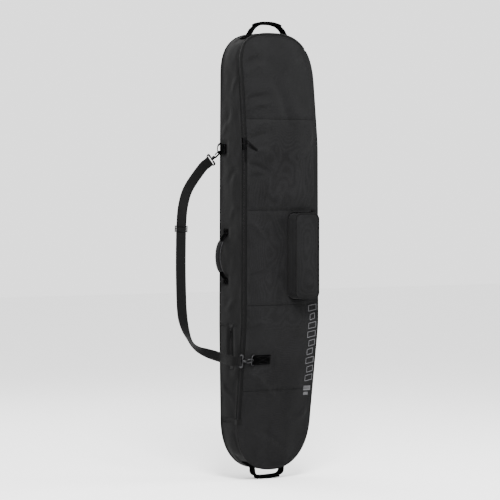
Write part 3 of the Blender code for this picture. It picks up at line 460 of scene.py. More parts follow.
LOOP = even_loop()
COUNT = len(LOOP)
OUTWARD = []
for k in range(COUNT):
    (xa, za), (xb, zb) = LOOP[k - 1], LOOP[(k + 1) % COUNT]
    size = math.hypot(xb - xa, zb - za)
    OUTWARD.append((-(zb - za) / size, (xb - xa) / size))


def left_index(z):
    """Step of the loop where the left side passes height z."""
    return min(range(COUNT // 2), key=lambda k: abs(LOOP[k][1] - z))


def right_index(z):
    """Step of the loop where the right side passes height z."""
    return min(range(COUNT // 2, COUNT), key=lambda k: abs(LOOP[k][1] - z))


def ease(value, width):
    """Smooth rise from 0 at 0 to 1 at width."""
    t = max(0.0, min(1.0, value / width))
    return t * t * (3 - 2 * t)


CREASES = [                   # from (x, z), to (x, z), height, half width of folds in the front
    ((-0.160, -0.215), (-0.060, -0.140), 0.0042, 0.011),
    ((-0.158, -0.186), (-0.070, -0.112), -0.0036, 0.010),
    ((-0.158, -0.310), (-0.050, -0.262), -0.0048, 0.011),
    ((-0.160, -0.342), (-0.040, -0.290), 0.0050, 0.011),
    ((-0.158, -0.432), (-0.040, -0.352), 0.0050, 0.011),
    ((-0.158, -0.462), (-0.050, -0.404), -0.0044, 0.011),
    ((-0.155, -0.512), (-0.060, -0.470), 0.0036, 0.011),
    ((-0.155, -0.540), (-0.050, -0.560), -0.0042, 0.011),
    ((-0.155, -0.600), (-0.070, -0.570), -0.0034, 0.010),
    ((-0.020, -0.215), (0.060, -0.400), -0.0032, 0.020),
    ((0.030, -0.180), (0.130, -0.120), 0.0028, 0.014),
    ((0.155, -0.400), (0.080, -0.520), 0.0030, 0.014),
    ((-0.150, -0.760), (-0.080, -0.810), 0.0026, 0.011),
    ((-0.155, -0.980), (-0.070, -0.940), -0.0026, 0.010),
    ((-0.150, -1.160), (-0.050, -1.130), 0.0026, 0.010),
    ((-0.140, -1.330), (0.000, -1.430), 0.0026, 0.014),
    ((0.150, -1.480), (0.060, -1.550), 0.0030, 0.012),
    ((-0.080, -1.560), (0.060, -1.620), -0.0026, 0.012),
]
SIDE_CREASES = [              # from (y, z), to (y, z), height, half width of folds in the zipper side
    ((0.058, -0.425), (0.010, -0.372), 0.0014, 0.013),
    ((0.040, -0.380), (-0.010, -0.345), -0.0014, 0.013),
    ((-0.050, -0.215), (-0.005, -0.265), 0.0014, 0.013),
    ((-0.050, -0.560), (0.010, -0.600), -0.0014, 0.013),
    ((-0.052, -0.700), (0.000, -0.740), 0.0014, 0.013),
    ((-0.050, -1.060), (0.020, -1.090), 0.0014, 0.013),
    ((0.050, -1.380), (-0.020, -1.440), 0.0014, 0.013),
]
CREASE_GAIN = 1.7


def crease_height(x, z, creases=CREASES):
    """Height of the folds at a point of a flat piece."""
    total = 0.0
    for (xa, za), (xb, zb), height, half in creases:
        dx, dz = xb - xa, zb - za
        share = ((x - xa) * dx + (z - za) * dz) / (dx * dx + dz * dz)
        if -0.2 < share < 1.2:
            away = ((x - xa) * dz - (z - za) * dx) / math.hypot(dx, dz)
            bend = away + 0.006 * math.sin(5.0 * share)
            ends = ease(share + 0.2, 0.4) * ease(1.2 - share, 0.6)
            total += CREASE_GAIN * height * math.exp(-(bend / half) ** 2) * ends
    return total


SEWN_FRONT = [                # (x from, to, z from, to) of pieces sewn flat on the front
    (-0.125, -0.037, -1.305, -1.263),
    (0.040, 0.142, -1.045, -0.731),
]
SEWN_SIDE = [                 # (z from, to, y from, to) of pieces sewn flat on the zipper side
    (-0.500, -0.456, 0.020, 0.068),
    (-0.812, -0.782, 0.006, 0.044),
    (-0.998, -0.968, 0.006, 0.044),
    (-1.312, -1.154, -0.026, -0.004),
]
SEWN_ENDS = (0.060, 0.118, 0.021)     # |x| from, to and half width of the handles' sewn ends


def outside_of(u, v, low_u, high_u, low_v, high_v):
    """Distance of a point from a rectangle, 0 inside it."""
    return math.hypot(max(low_u - u, 0.0, u - high_u), max(low_v - v, 0.0, v - high_v))


def front_relief(x, z):
    """How far the stuffed front stands out from its flat form."""
    half = half_width(z)
    edge = min(half - abs(x), CROWN_Z - z, z - FOOT_Z)
    crown = 0.0065 * ease(edge - 0.012, 0.09)
    broad = 0.0045 * noise.noise(Vector((x * 7.0, 3.1, z * 4.5)))
    fine = 0.0016 * noise.noise(Vector((x * 24.0, 7.7, z * 15.0)))
    sew = 0.0
    for seam in FRONT_SEAMS:
        off = abs(z - seam)
        if off < 0.06:
            pucker = 0.0005 * math.sin(x * 210 + 3 * math.sin(x * 31)) * math.exp(-(off / 0.016) ** 2)
            sew += pucker - 0.0030 * math.exp(-(off / 0.007) ** 2)
    flat = min(outside_of(x, z, *area) for area in SEWN_FRONT)
    loose = ease(edge - 0.009, 0.024) * (0.1 + 0.9 * ease(flat, 0.030))
    return (crown + broad + fine + crease_height(x, z) + sew) * loose


def front_at(x, z, lift=0.0):
    """Point of the front surface, lifted off it."""
    return Vector((x, front_y(z) - front_relief(x, z) - lift, z))


def side_relief(k, y):
    """How far the gusset stands out at a step of the loop."""
    x, z = LOOP[k % COUNT]
    ahead = front_y(z) + 0.0135
    across = (y - ahead) / (BACK_Y - ahead)
    if across < 0.0 or across > 1.0:
        return 0.0
    run = k * STEP
    crown = 0.0030 * math.sin(math.pi * across)
    broad = 0.0030 * noise.noise(Vector((run * 6.0, y * 9.0, 1.7)))
    fine = 0.0014 * noise.noise(Vector((run * 22.0, y * 26.0, 5.2)))
    sew = 0.0
    for seam in GUSSET_SEAMS:
        off = abs(z - seam)
        if off < 0.05:
            sew -= 0.0025 * math.exp(-(off / 0.006) ** 2)
    flat = 1.0
    if z > SHOULDER_Z or z < HIP_Z:
        flat = outside_of(abs(x), y, SEWN_ENDS[0], SEWN_ENDS[1], -SEWN_ENDS[2], SEWN_ENDS[2])
    elif x < 0:
        flat = min(outside_of(z, y, *area) for area in SEWN_SIDE)
        fine += crease_height(y, z, SIDE_CREASES)
    return (crown + broad + fine + sew) * ease(across, 0.12) * ease(1 - across, 0.12) * ease(flat, 0.018)


def skin_at(k, y, lift=0.0):
    """Point of the gusset at a step of the loop."""
    x, z = LOOP[k % COUNT]
    nx, nz = OUTWARD[k % COUNT]
    reach = side_relief(k, y) + lift
    return Vector((x + nx * reach, y, z + nz * reach))


def left_at(y, z, lift=0.0):
    """Point of the zipper-side gusset at a height."""
    return Vector((skin_at(left_index(z), y, lift).x, y, z))


def out_of(k):
    """Outward direction of the gusset at a step of the loop."""
    nx, nz = OUTWARD[k % COUNT]
    return Vector((nx, 0.0, nz))


def back_at(x, z):
    """Point of the back surface, with its faint swells."""
    edge = min(half_width(z) - abs(x), CROWN_Z - z, z - FOOT_Z)
    broad = 0.0022 * noise.noise(Vector((x * 6.0, 9.3, z * 4.0)))
    fine = 0.0010 * noise.noise(Vector((x * 21, 2.2, z * 16)))
    return Vector((x, BACK_Y + (broad + fine - 0.0006) * ease(edge - 0.008, 0.04), z))


# ---------------------------------------------------------------- padded panels
WALL = 0.0072                 # skin, foam and lining together
SKIN = 0.0012
MIDDLE_Z = (CROWN_Z + FOOT_Z) / 2
COLUMNS = 96
END_ROWS = 60
LINING_INSET = 0.014          # the lining face stops short of the edge

FOLD_LOW = Vector(JOINTS["flap_fold"]["pos_m"])
FOLD_EASE = 0.028             # half width of the panel's bend
FOLD_TAPE = (0.004, 0.006)    # reach of the zipper tape's bend towards the body and the flap
FOLD_HIGH_Z = -0.100


def fold(piece, slot, before=FOLD_EASE, after=FOLD_EASE):
    """Bakes the transform of a piece that runs from the body over the flap's fold."""
    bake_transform(piece)


def row_heights():
    """Heights of the panel rows, close together at the rounded ends."""
    top = [z for _, z in quarter(1.0, SHOULDER_Z, CROWN_Z, TOP_POWER, END_ROWS)][1:]
    foot = [z for _, z in quarter(1.0, HIP_Z, FOOT_Z, BOTTOM_POWER, END_ROWS)][1:]
    straight = int((SHOULDER_Z - HIP_Z) / STEP)
    sides = [SHOULDER_Z + (HIP_Z - SHOULDER_Z) * k / straight for k in range(1, straight)]
    return top + sides + foot[::-1]


def panel(name, outer, inner_y):
    """Padded panel: woven face, bound edge and a lining face set in from the edge."""
    heights = row_heights()
    front, rim, back = [], [], []
    for z in heights:
        for j in range(COLUMNS + 1):
            x = half_width(z) * (2 * j / COLUMNS - 1)
            spot = outer(x, z)
            front.append(spot)
            deep = inner_y(z) - spot.y
            rim.append(spot + Vector((0.0, math.copysign(SKIN, deep), 0.0)))
            z_in = MIDDLE_Z + (z - MIDDLE_Z) * (1 - LINING_INSET / (CROWN_Z - MIDDLE_Z))
            back.append(Vector((x * (1 - LINING_INSET / SIDE_HALVES[1][1]), inner_y(z_in), z_in)))
    wide, total = COLUMNS + 1, len(front)
    edge = list(range(wide)) + [r * wide + COLUMNS for r in range(1, len(heights))]
    edge += [total - 1 - j for j in range(1, wide)] + [r * wide for r in range(len(heights) - 2, 0, -1)]
    corners, spots = front + back, {}
    for index in edge:
        spots[index] = len(corners)
        corners.append(rim[index])
    faces = []
    for r in range(len(heights) - 1):
        for j in range(COLUMNS):
            a = r * wide + j
            faces.append((a, a + 1, a + 1 + wide, a + wide))
    outer_count = len(faces)
    faces += [tuple(i + total for i in reversed(face)) for face in faces]
    for here, after in zip(edge, edge[1:] + edge[:1]):
        faces.append((here, after, spots[after], spots[here]))
        faces.append((spots[here], spots[after], after + total, here + total))
    piece = make(name, corners, faces, FABRIC, smooth_deg=60)
    piece.data.materials.append(LINING)
    for polygon in piece.data.polygons[outer_count:2 * outer_count]:
        polygon.material_index = 1
    return piece


def band(name, start, stop, section, material, closed=False, every=1):
    """Closed strip along the loop; section(k) gives (lift, y) pairs round its cut."""
    rings, uvs = [], []
    for k in range(start, stop, every):
        x, z = LOOP[k % COUNT]
        nx, nz = OUTWARD[k % COUNT]
        rings.append([Vector((x + nx * lift, y, z + nz * lift)) for lift, y in section(k)])
        uvs += [(k * STEP, lift + y) for lift, y in section(k)]
    return loft(name, rings, material, closed, uvs, 50)


def gusset_cut(k):
    """Cut through the gusset's outer skin, front to back and back again inside."""
    z = LOOP[k % COUNT][1]
    ahead = front_y(z) + 0.0015
    ys = [ahead + (BACK_Y - 0.0002 - ahead) * j / 30 for j in range(31)]
    return [(side_relief(k, y), y) for y in ys] + [(-SKIN, ys[-1]), (-SKIN, ys[0])]


def lining_cut(k):
    """Cut through the gusset's foam and lining."""
    z = LOOP[k % COUNT][1]
    ahead, behind = front_y(z) + 0.009, BACK_Y - 0.008
    ys = [ahead + (behind - ahead) * j / 10 for j in range(11)]
    inside = [(-WALL - 0.0012 * noise.noise(Vector((k * 0.05, y * 20, 4.0))), y) for y in ys]
    return inside + [(-SKIN - 0.0003, behind), (-SKIN - 0.0003, ahead)]


def gusset_piece(name, start, stop):
    piece = band(name + "_cloth", start, stop, gusset_cut, SHADED_GUSSET_FABRIC)
    return put(piece, "root", name, slot="outer_fabric")


def make_shell():
    hip, hip_r = left_index(HIP_Z), right_index(HIP_Z)
    shoulder, shoulder_r = left_index(SHOULDER_Z), right_index(SHOULDER_Z)
    gusset_piece("gusset_zip_side", hip, shoulder + 1)
    gusset_piece("gusset_top", shoulder, shoulder_r + 1)
    gusset_piece("gusset_right_side", shoulder_r, hip_r + 1)
    gusset_piece("gusset_bottom", hip_r, hip + COUNT + 1)
    inner = band("gusset_inner_lining", 0, COUNT, lining_cut, LINING, closed=True, every=2)
    put(inner, "root", "gusset_foam", "gusset_lining", slot="lining")
    back = panel("back_padded", back_at, lambda z: BACK_Y - WALL)
    put(back, "root", "back_panel", "back_foam", "back_lining", slot="outer_fabric")
    front = panel("front_padded", front_at, lambda z: front_y(z) + WALL)
    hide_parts("front_panel", "front_foam", "front_lining", "flap_panel", "flap_foam", "flap_lining")
    fold(front, "outer_fabric")
    cord = loop_path(lambda z: BACK_Y - 0.003, 0.0016, 0, COUNT, 2)
    piping = tube("back_piping_cord", cord, 0.0017, (0, 1, 0), BINDING, closed=True, sides=10)
    put(piping, "root", "back_piping", slot="piping")


def loop_path(y_of, lift, start=0, stop=COUNT, every=1):
    """Points along the loop, lifted off it, at depth y_of(z)."""
    points = []
    for k in range(start, stop, every):
        x, z = LOOP[k % COUNT]
        nx, nz = OUTWARD[k % COUNT]
        points.append(Vector((x + nx * lift, y_of(z), z + nz * lift)))
    return points


def front_path(off, lift, start, stop):
    """Points along the loop at a distance behind the front surface, or ahead of it if negative."""
    return loop_path(lambda z: front_y(z) + off, lift, start, stop)


# ---------------------------------------------------------------- stitching
SEAM_STITCH = (0.0042, 0.0030, 0.00032)      # spacing, length and radius of the thread's stitches
ZIP_STITCH = (0.0036, 0.0028, 0.00030)
SMALL_STITCH = (0.0034, 0.0026, 0.00028)
EDGE_STITCH = (0.0040, 0.0029, 0.00034)
BOX_STITCH = (0.0031, 0.0024, 0.00034)
HUMP = [(-1, 0, -0.4), (-0.6, 1, 0.1), (-0.6, -1, 0.1), (-0.5, 0, 1.1), (0.5, 0, 1.1), (0.6, 1, 0.1),
        (0.6, -1, 0.1), (1, 0, -0.4)]
HUMP_FACES = [(0, 1, 3), (0, 3, 2), (1, 5, 4, 3), (3, 4, 6, 2), (5, 7, 4), (4, 7, 6), (0, 2, 1), (7, 5, 6),
              (1, 2, 6, 5)]


def dashes(name, points, normals, stitch=SEAM_STITCH):
    """A row of thread stitches along a path, as small pointed humps."""
    pitch, length, radius = stitch
    points = [Vector(p) for p in points]
    corners, faces, travelled, due = [], [], 0.0, 0.0
    for k in range(len(points) - 1):
        reach = (points[k + 1] - points[k]).length
        if reach < 1e-9:
            continue
        way = (points[k + 1] - points[k]) / reach
        normal = Vector(normals[k] if isinstance(normals, list) else normals).normalized()
        side = way.cross(normal).normalized()
        while due <= travelled + reach:
            centre = points[k] + way * (due - travelled)
            first = len(corners)
            for u, v, w in HUMP:
                corners.append(centre + way * (u * length / 2) + side * (v * radius) + normal * (w * radius))
            for face in HUMP_FACES:
                faces.append(tuple(first + i for i in face))
            due += pitch
        travelled += reach
    return make(name, corners, faces, THREAD, smooth_deg=80)


# ---------------------------------------------------------------- main zipper
COIL_PITCH, SMALL_COIL_PITCH = 0.0022, 0.0020
# half length, where its ends drop, half width and depth of its foot, half width and rises of its top
COIL_TURN = (0.0022, 0.55, (0.0008, -0.0010), (0.0006, 0.0016, 0.0006))
SMALL_COIL_TURN = (0.0021, 0.5, (0.0007, -0.0006), (0.0005, 0.0011, 0.0004))
# (lift off the outline, distance behind the front surface) round each cut
TAPE_FRONT_CUT = [(0.0, -0.0006), (-0.002, -0.0012), (-0.006, -0.0010), (-0.0115, -0.0011),
                  (-TAPE_WIDTH, -0.0007), (-TAPE_WIDTH, 0.0002), (0.0, 0.0001)]
TAPE_GUSSET_CUT = [(0.0006, -0.0002), (0.0012, 0.002), (0.0010, 0.006), (0.0012, 0.0115),
                   (0.0007, TAPE_WIDTH), (-0.0002, TAPE_WIDTH), (-0.0001, 0.0)]
ZIP_END_CUT = [(-0.018, -0.0004), (-0.018, -0.0022), (-0.002, -0.0026), (0.0016, -0.0018), (0.0026, 0.002),
               (0.0024, 0.014), (0.0004, 0.014), (0.0002, 0.0004)]


def along_front(cut):
    """The function of the loop's step that band() takes, for a cut that follows the front surface."""
    return lambda k: [(lift, front_y(LOOP[k % COUNT][1]) + off) for lift, off in cut]


def add_turn(corners, faces, centre, axes, turn, lean=0.0):
    """Adds one humped coil turn; axes are along the zipper, across it and off it."""
    way, across, out = axes
    half, shoulder, (foot, low), (top, rise_inside, rise_at_end) = turn
    first = len(corners)
    for end in (-1.0, -shoulder, shoulder, 1.0):
        rise = rise_at_end if abs(end) == 1.0 else rise_inside
        for u, w in ((-foot, low), (foot, low), (top, rise), (-top, rise)):
            corners.append(centre + way * (u + lean * end) + across * (half * end) + out * w)
    for ring in range(3):
        a = first + ring * 4
        for j in range(4):
            nxt = (j + 1) % 4
            faces.append((a + j, a + nxt, a + nxt + 4, a + j + 4))
    faces.append(tuple(first + j for j in (3, 2, 1, 0)))
    faces.append(tuple(first + 12 + j for j in range(4)))


def coil(name, start, stop):
    """Interlocking coil turns across the front corner."""
    corners, faces = [], []
    total = (stop - start) * STEP
    for n in range(int(total / COIL_PITCH)):
        run = start + n * COIL_PITCH / STEP
        k, share = int(run), run - int(run)
        (xa, za), (xb, zb) = LOOP[k % COUNT], LOOP[(k + 1) % COUNT]
        x, z = xa + (xb - xa) * share, za + (zb - za) * share
        nx, nz = OUTWARD[k % COUNT]
        y = front_y(z)
        way = Vector((xb - xa, front_y(zb) - front_y(za), zb - za)).normalized()
        out = Vector((nx, -1.0, nz)).normalized()
        across = way.cross(out).normalized()
        centre = Vector((x, y, z)) + out * 0.0012
        add_turn(corners, faces, centre, (way, across, out), COIL_TURN, 0.0004 if n % 2 else -0.0004)
    return make(name, corners, faces, COIL, smooth_deg=50)


def straight_coil(name, path, out):
    """Coil turns along a nearly straight small zipper."""
    out = Vector(out).normalized()
    corners, faces = [], []
    start, way = path[0], (path[-1] - path[0])
    total = way.length
    way = way.normalized()
    across = way.cross(out).normalized()
    for n in range(int(total / SMALL_COIL_PITCH)):
        centre = start + way * n * SMALL_COIL_PITCH + out * 0.0009
        add_turn(corners, faces, centre, (way, across, out), SMALL_COIL_TURN)
    return make(name, corners, faces, COIL, smooth_deg=50)


def make_zipper():
    start = left_index(ZIP_END_Z)
    fold_step = left_index(FOLD_LOW.z)
    end = right_index(FOLD_HIGH_Z)
    gusset = band("zip_tape_gusset_weave", start, end, along_front(TAPE_GUSSET_CUT), TAPE)
    put(gusset, "root", "zip_tape_gusset", slot="zip_tape")
    low = band("zip_tape_front_weave", start, fold_step, along_front(TAPE_FRONT_CUT), TAPE)
    put(low, "root", "zip_tape_front", slot="zip_tape")
    high = band("zip_tape_flap_weave", fold_step, end - 3, along_front(TAPE_FRONT_CUT), TAPE)
    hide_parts("zip_tape_flap")
    fold(high, "zip_tape", *FOLD_TAPE)
    put(coil("zip_coil_front_turns", start, fold_step), "root", "zip_coil_front", slot="zip_coil")
    put(coil("zip_coil_flap_turns", fold_step, end - 2), "flap", "zip_coil_flap", slot="zip_coil")
    for name, reach in (("outer", 0.0098), ("inner", 0.0060)):
        line = front_path(-0.0012, -reach, start, end - 4)
        fold(dashes("zip_stitch_front_" + name, line, (0, -1, 0), ZIP_STITCH), "zip_tape", *FOLD_TAPE)
        line = front_path(reach, 0.0013, start, end - 1)
        outs = [out_of(k) for k in range(start, end - 1)]
        put(dashes("zip_stitch_gusset_" + name, line, outs, ZIP_STITCH), "root", slot="zip_tape")
    # Near-black tubes along both edges of the tape: painted shade in the grooves there.
    edge = front_path(-0.0006, -TAPE_WIDTH, start, end - 4)
    fold(tube("zip_edge_groove_shade_front", edge, 0.0014, (0, 1, 0), GROOVE_SHADE, sides=8), "zip_tape", *FOLD_TAPE)
    edge = front_path(0.0128, 0.0008, start, end)
    put(tube("zip_edge_groove_shade_gusset", edge, 0.0014, (0, 1, 0), GROOVE_SHADE, sides=8), "root", slot="zip_tape")
    # sewn stop at the lower end, folded round the corner
    centre = left_index(ZIP_END_Z - 0.012)
    patch = band("zip_end_patch_webbing", centre - 2, centre + 4, along_front(ZIP_END_CUT), WEBBING)
    put(patch, "root", "zip_end_patch", slot="zip_tape")


# ---------------------------------------------------------------- seams sewn across the front and the gusset
# Radius of the near-black tubes that paint the shade in the seams' grooves.
GROOVE_SHADE_RADIUS = 0.0009
EDGE_CORD = 0.0014


def make_front_seams():
    """A near-black tube of painted shade in the seam's groove and two rows of stitches across the front."""
    for n, z in enumerate(FRONT_SEAMS):
        edge = half_width(z) - 0.014
        line = [front_at(-edge + 2 * edge * j / 90, z, 0.0001) for j in range(91)]
        fold(tube(f"front_seam_groove_shade_{n}", line, GROOVE_SHADE_RADIUS, (0, 1, 0), GROOVE_SHADE, sides=6), "outer_fabric")
        for row, rise in enumerate((-0.0035, 0.0035)):
            xs = [-edge + 2 * edge * j / 120 for j in range(121)]
            line = [front_at(x, z + rise, 0.0002) for x in xs]
            fold(dashes(f"front_seam_{n}_{row}", line, (0, -1, 0)), "outer_fabric")


def make_gusset_seam(side, n, k):
    """A near-black tube of painted shade in the seam's groove and two rows of stitches across the gusset at a
    step of the loop.
    """
    ahead = front_y(GUSSET_SEAMS[n]) + 0.016
    ys = [ahead + (BACK_Y - 0.004 - ahead) * j / 60 for j in range(61)]
    line = [skin_at(k, y, 0.0001) for y in ys]
    groove_shade_tube = tube(f"gusset_seam_welt_{side}_{n}", line, GROOVE_SHADE_RADIUS, (0, 0, 1), GROOVE_SHADE, sides=6)
    put(groove_shade_tube, "root", slot="outer_fabric")
    for row, step in enumerate((-1, 1)):
        line = [skin_at(k + step, y, 0.0002) for y in ys]
        put(dashes(f"gusset_seam_{side}_{n}_{row}", line, out_of(k)), "root", slot="outer_fabric")


def make_seams():
    make_front_seams()
    for side, index in (("left", left_index), ("right", right_index)):
        for n, z in enumerate(GUSSET_SEAMS):
            make_gusset_seam(side, n, index(z))
    edge = [Vector((p.x, back_at(p.x, p.z).y + 0.0002, p.z)) for p in loop_path(lambda z: BACK_Y, -0.010)]
    put(dashes("back_edge_stitch", edge + edge[:1], (0, 1, 0)), "root", slot="outer_fabric")
    high_right = right_index(FOLD_HIGH_Z)
    line = [front_at(p.x, p.z, 0.0002) for p in front_path(0.0, -0.006, high_right, COUNT)]
    put(dashes("front_edge_stitch", line, (0, -1, 0)), "root", slot="outer_fabric")
    cord = front_path(0.0004, 0.0010, high_right, COUNT + left_index(ZIP_END_Z))
    put(tube("front_piping_cord", cord, EDGE_CORD, (0, 1, 0), BINDING, sides=10), "root", slot="piping")


# ---------------------------------------------------------------- camera, light and floor
VIEW_AZIMUTH = math.radians(-33.0)
VIEW_RISE = math.radians(1.5)
VIEW_DISTANCE = 9.0
VIEW_RIGHT = Vector((0.839, -0.545, 0.0))
VIEW_MIDDLE = VIEW_RIGHT * -0.0645 + Vector((0.0, 0.0, -0.867))
SENSOR = 36.0                 # mm
FRAME_SIDE = 1.93             # what the square picture spans at the bag
FLOOR_GAP = 0.009             # the floor lies this far under the CAD, clear of the bottom grip
FLOOR_REACH = 14.0
FLOOR_TONE = 0.92
SKY_STRENGTH = 2.0
LAMP_TARGET = Vector((0, 0, -0.6))
LAMPS = [("key", (-1.1, -2.1, 1.7), 1.0, 330.0),      # name, place, size in m, power in W
         ("fill", (3.2, -1.4, 0.3), 1.6, 90.0),
         ("rim", (-0.5, 3.0, 1.2), 2.0, 90.0)]


def add_object(name, data):
    made = bpy.data.objects.new(name, data)
    bpy.context.collection.objects.link(made)
    return made


def aim(thing, away):
    """Turns a camera or a lamp so that it looks against away."""
    thing.rotation_euler = (-away).to_track_quat("-Z", "Y").to_euler()


def make_camera():
    level = math.cos(VIEW_RISE)
    away = Vector((math.sin(VIEW_AZIMUTH) * level, -math.cos(VIEW_AZIMUTH) * level, math.sin(VIEW_RISE)))
    camera = add_object("camera", bpy.data.cameras.new("camera"))
    camera.location = VIEW_MIDDLE + away * VIEW_DISTANCE
    aim(camera, away)
    camera.data.sensor_width = SENSOR
    camera.data.lens = SENSOR * VIEW_DISTANCE / FRAME_SIDE
    camera.data.clip_end = 60.0
    bpy.context.scene.camera = camera


def make_stage():
    make_camera()
    floor_mesh = bpy.data.meshes.new("floor")
    level = CAD_BOX[0][2] - FLOOR_GAP
    spots = [(-1, -1), (1, -1), (1, 1), (-1, 1)]
    floor_mesh.from_pydata([(FLOOR_REACH * x, FLOOR_REACH * y, level) for x, y in spots], [], [(0, 1, 2, 3)])
    pale = bpy.data.materials.new("pale_floor")
    pale.use_nodes = True
    paint = pale.node_tree.nodes["Principled BSDF"].inputs
    paint["Base Color"].default_value = (FLOOR_TONE, FLOOR_TONE, FLOOR_TONE, 1.0)
    paint["Roughness"].default_value = 0.9
    floor_mesh.materials.append(pale)
    floor = add_object("floor", floor_mesh)
    world = bpy.data.worlds.new("studio")
    world.use_nodes = True
    world.node_tree.nodes["Background"].inputs["Color"].default_value = (1.0, 1.0, 1.0, 1.0)
    world.node_tree.nodes["Background"].inputs["Strength"].default_value = SKY_STRENGTH
    bpy.context.scene.world = world
    for name, place, size, power in LAMPS:
        lamp = bpy.data.lights.new(name, "AREA")
        lamp.size = size
        lamp.energy = power
        light = add_object(name, lamp)
        light.location = place
        aim(light, Vector(place) - LAMP_TARGET)


# ---------------------------------------------------------------- flat cut plates
def plate(name, outlines, place, depth, material, bevel=0.0003):
    """Flat plate: the first (u, v) loop is its edge, the others are holes."""
    loops = [[Vector((u, v, 0.0)) for u, v in outline] for outline in outlines]
    flat = [point for outline in loops for point in outline]
    triangles = tessellate_polygon(loops)
    total = len(flat)
    corners = [place @ point for point in flat] + [place @ (point + Vector((0, 0, depth))) for point in flat]
    faces = [tuple(t) for t in triangles] + [tuple(k + total for k in reversed(t)) for t in triangles]
    start = 0
    for outline in loops:
        size = len(outline)
        for k in range(size):
            a, b = start + k, start + (k + 1) % size
            faces.append((a, b, b + total, a + total))
        start += size
    return soften(make(name, corners, faces, material, smooth_deg=30), bevel, 50)


# ---------------------------------------------------------------- cloth
VOXEL, FINE_VOXEL = 0.0045, 0.0024
CLOTH_FRAMES = 20


def own_mesh(piece):
    """Applies the piece's modifiers to its mesh."""
    graph = bpy.context.evaluated_depsgraph_get()
    done = bpy.data.meshes.new_from_object(piece.evaluated_get(graph), depsgraph=graph)
    piece.modifiers.clear()
    piece.data = done


def inflate(piece, held, cap, pressure=4.0, voxel=VOXEL):
    """Fills a closed piece like a stuffed cloth; held(co) is true where it is sewn down."""
    remesh = piece.modifiers.new("even", "REMESH")
    remesh.mode = "VOXEL"
    remesh.voxel_size = voxel
    own_mesh(piece)
    before = [v.co.copy() for v in piece.data.vertices]
    group = piece.vertex_groups.new(name="sewn")
    group.add([k for k, co in enumerate(before) if held(co)], 1.0, "REPLACE")
    cloth = piece.modifiers.new("cloth", "CLOTH")
    cloth.settings.use_pressure = True
    cloth.settings.uniform_pressure_force = pressure
    cloth.settings.vertex_group_mass = "sewn"
    cloth.settings.effector_weights.gravity = 0.0
    cloth.settings.quality = 6
    cloth.settings.tension_stiffness = 12.0
    cloth.settings.bending_stiffness = 0.8
    for frame_number in range(1, CLOTH_FRAMES + 1):
        bpy.context.scene.frame_set(frame_number)
    own_mesh(piece)
    bpy.context.scene.frame_set(1)
    for vertex, rest in zip(piece.data.vertices, before):
        move = vertex.co - rest
        if move.length > cap:
            vertex.co = rest + move * (cap / move.length)
    finer = piece.modifiers.new("finer", "SUBSURF")
    finer.levels = 1
    finer.render_levels = 1
    own_mesh(piece)
    piece.data.shade_smooth()
    return piece


# ---------------------------------------------------------------- accessory pocket
POCKET_LOW, POCKET_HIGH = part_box("pocket_shell")
POCKET_DEPTH = POCKET_HIGH[1] - POCKET_LOW[1]
POCKET_CORNER = 0.026
POCKET_FACE_Y = POCKET_LOW[1]
POCKET_BASE_Y = POCKET_HIGH[1]


def pocket_loop(inset, y):
    """Outline of the pocket at depth y, slightly narrower towards its face."""
    lean = 0.004 * (POCKET_BASE_Y - y) / POCKET_DEPTH
    low = (POCKET_LOW[0] + inset + lean, POCKET_LOW[2] + inset)
    high = (POCKET_HIGH[0] - inset - lean, POCKET_HIGH[2] - inset)
    outline = rounded_box(low, high, max(0.003, POCKET_CORNER - inset), 10)
    return [Vector((x, y, z)) for x, z in outline]


def pocket_rim_gap(x, z):
    """Distance of a point of the pocket's face from the face's rim."""
    gaps = []
    for axis, value in ((0, x), (2, z)):
        middle, half = (POCKET_LOW[axis] + POCKET_HIGH[axis]) / 2, (POCKET_HIGH[axis] - POCKET_LOW[axis]) / 2
        gaps.append(half - 0.004 - abs(value - middle))
    near, far = min(gaps), max(gaps)
    if far > POCKET_CORNER:
        return near
    return POCKET_CORNER - math.hypot(POCKET_CORNER - near, POCKET_CORNER - far)


def make_pocket_shell():
    """The stuffed box of the pocket, sewn down round its base and along its rim."""
    face = POCKET_FACE_Y + 0.003
    rings = [pocket_loop(inset, y) for inset, y in (
        (0.004, POCKET_BASE_Y + 0.004), (0.0015, POCKET_BASE_Y - 0.004), (0.0015, face + 0.006),
        (0.003, face + 0.001), (0.006, face))]
    shell = loft("pocket_shell_cloth", rings, FABRIC)

    def held(co):
        at_rim = abs(co.y - face) < 0.006 and pocket_rim_gap(co.x, co.z) < 0.007
        return co.y > POCKET_BASE_Y - 0.006 or at_rim

    inflate(shell, held, 0.009)
    plump = 0.0
    for vertex in shell.data.vertices:
        co = vertex.co
        if co.y < face + 0.012:
            inside = ease(pocket_rim_gap(co.x, co.z) - 0.006, 0.03)
            swell = 0.0024 * noise.noise(Vector((co.x * 16, 4.4, co.z * 11))) * inside
            vertex.co.y -= swell + plump * inside
    put(shell, "root", "pocket_shell", slot="outer_fabric")
    line = [Vector((p.x, POCKET_FACE_Y + 0.0012, p.z)) for p in pocket_loop(0.0075, face)]
    put(dashes("pocket_face_stitch", line + line[:1], (0, -1, 0)), "root", slot="outer_fabric")


def make_pocket_piping():
    edge = pocket_loop(0.0038, POCKET_FACE_Y + 0.0035)
    cord = tube("pocket_piping_cord", edge, 0.0028, (0, 1, 0), BINDING, closed=True, sides=12)
    put(cord, "root", "pocket_piping", slot="piping")
    foot = [front_at(p.x, p.z, 0.0008) for p in pocket_loop(-0.0022, POCKET_BASE_Y)]
    cord = tube("pocket_base_piping", foot, 0.0018, (0, 1, 0), BINDING, closed=True, sides=10)
    put(cord, "root", slot="piping")


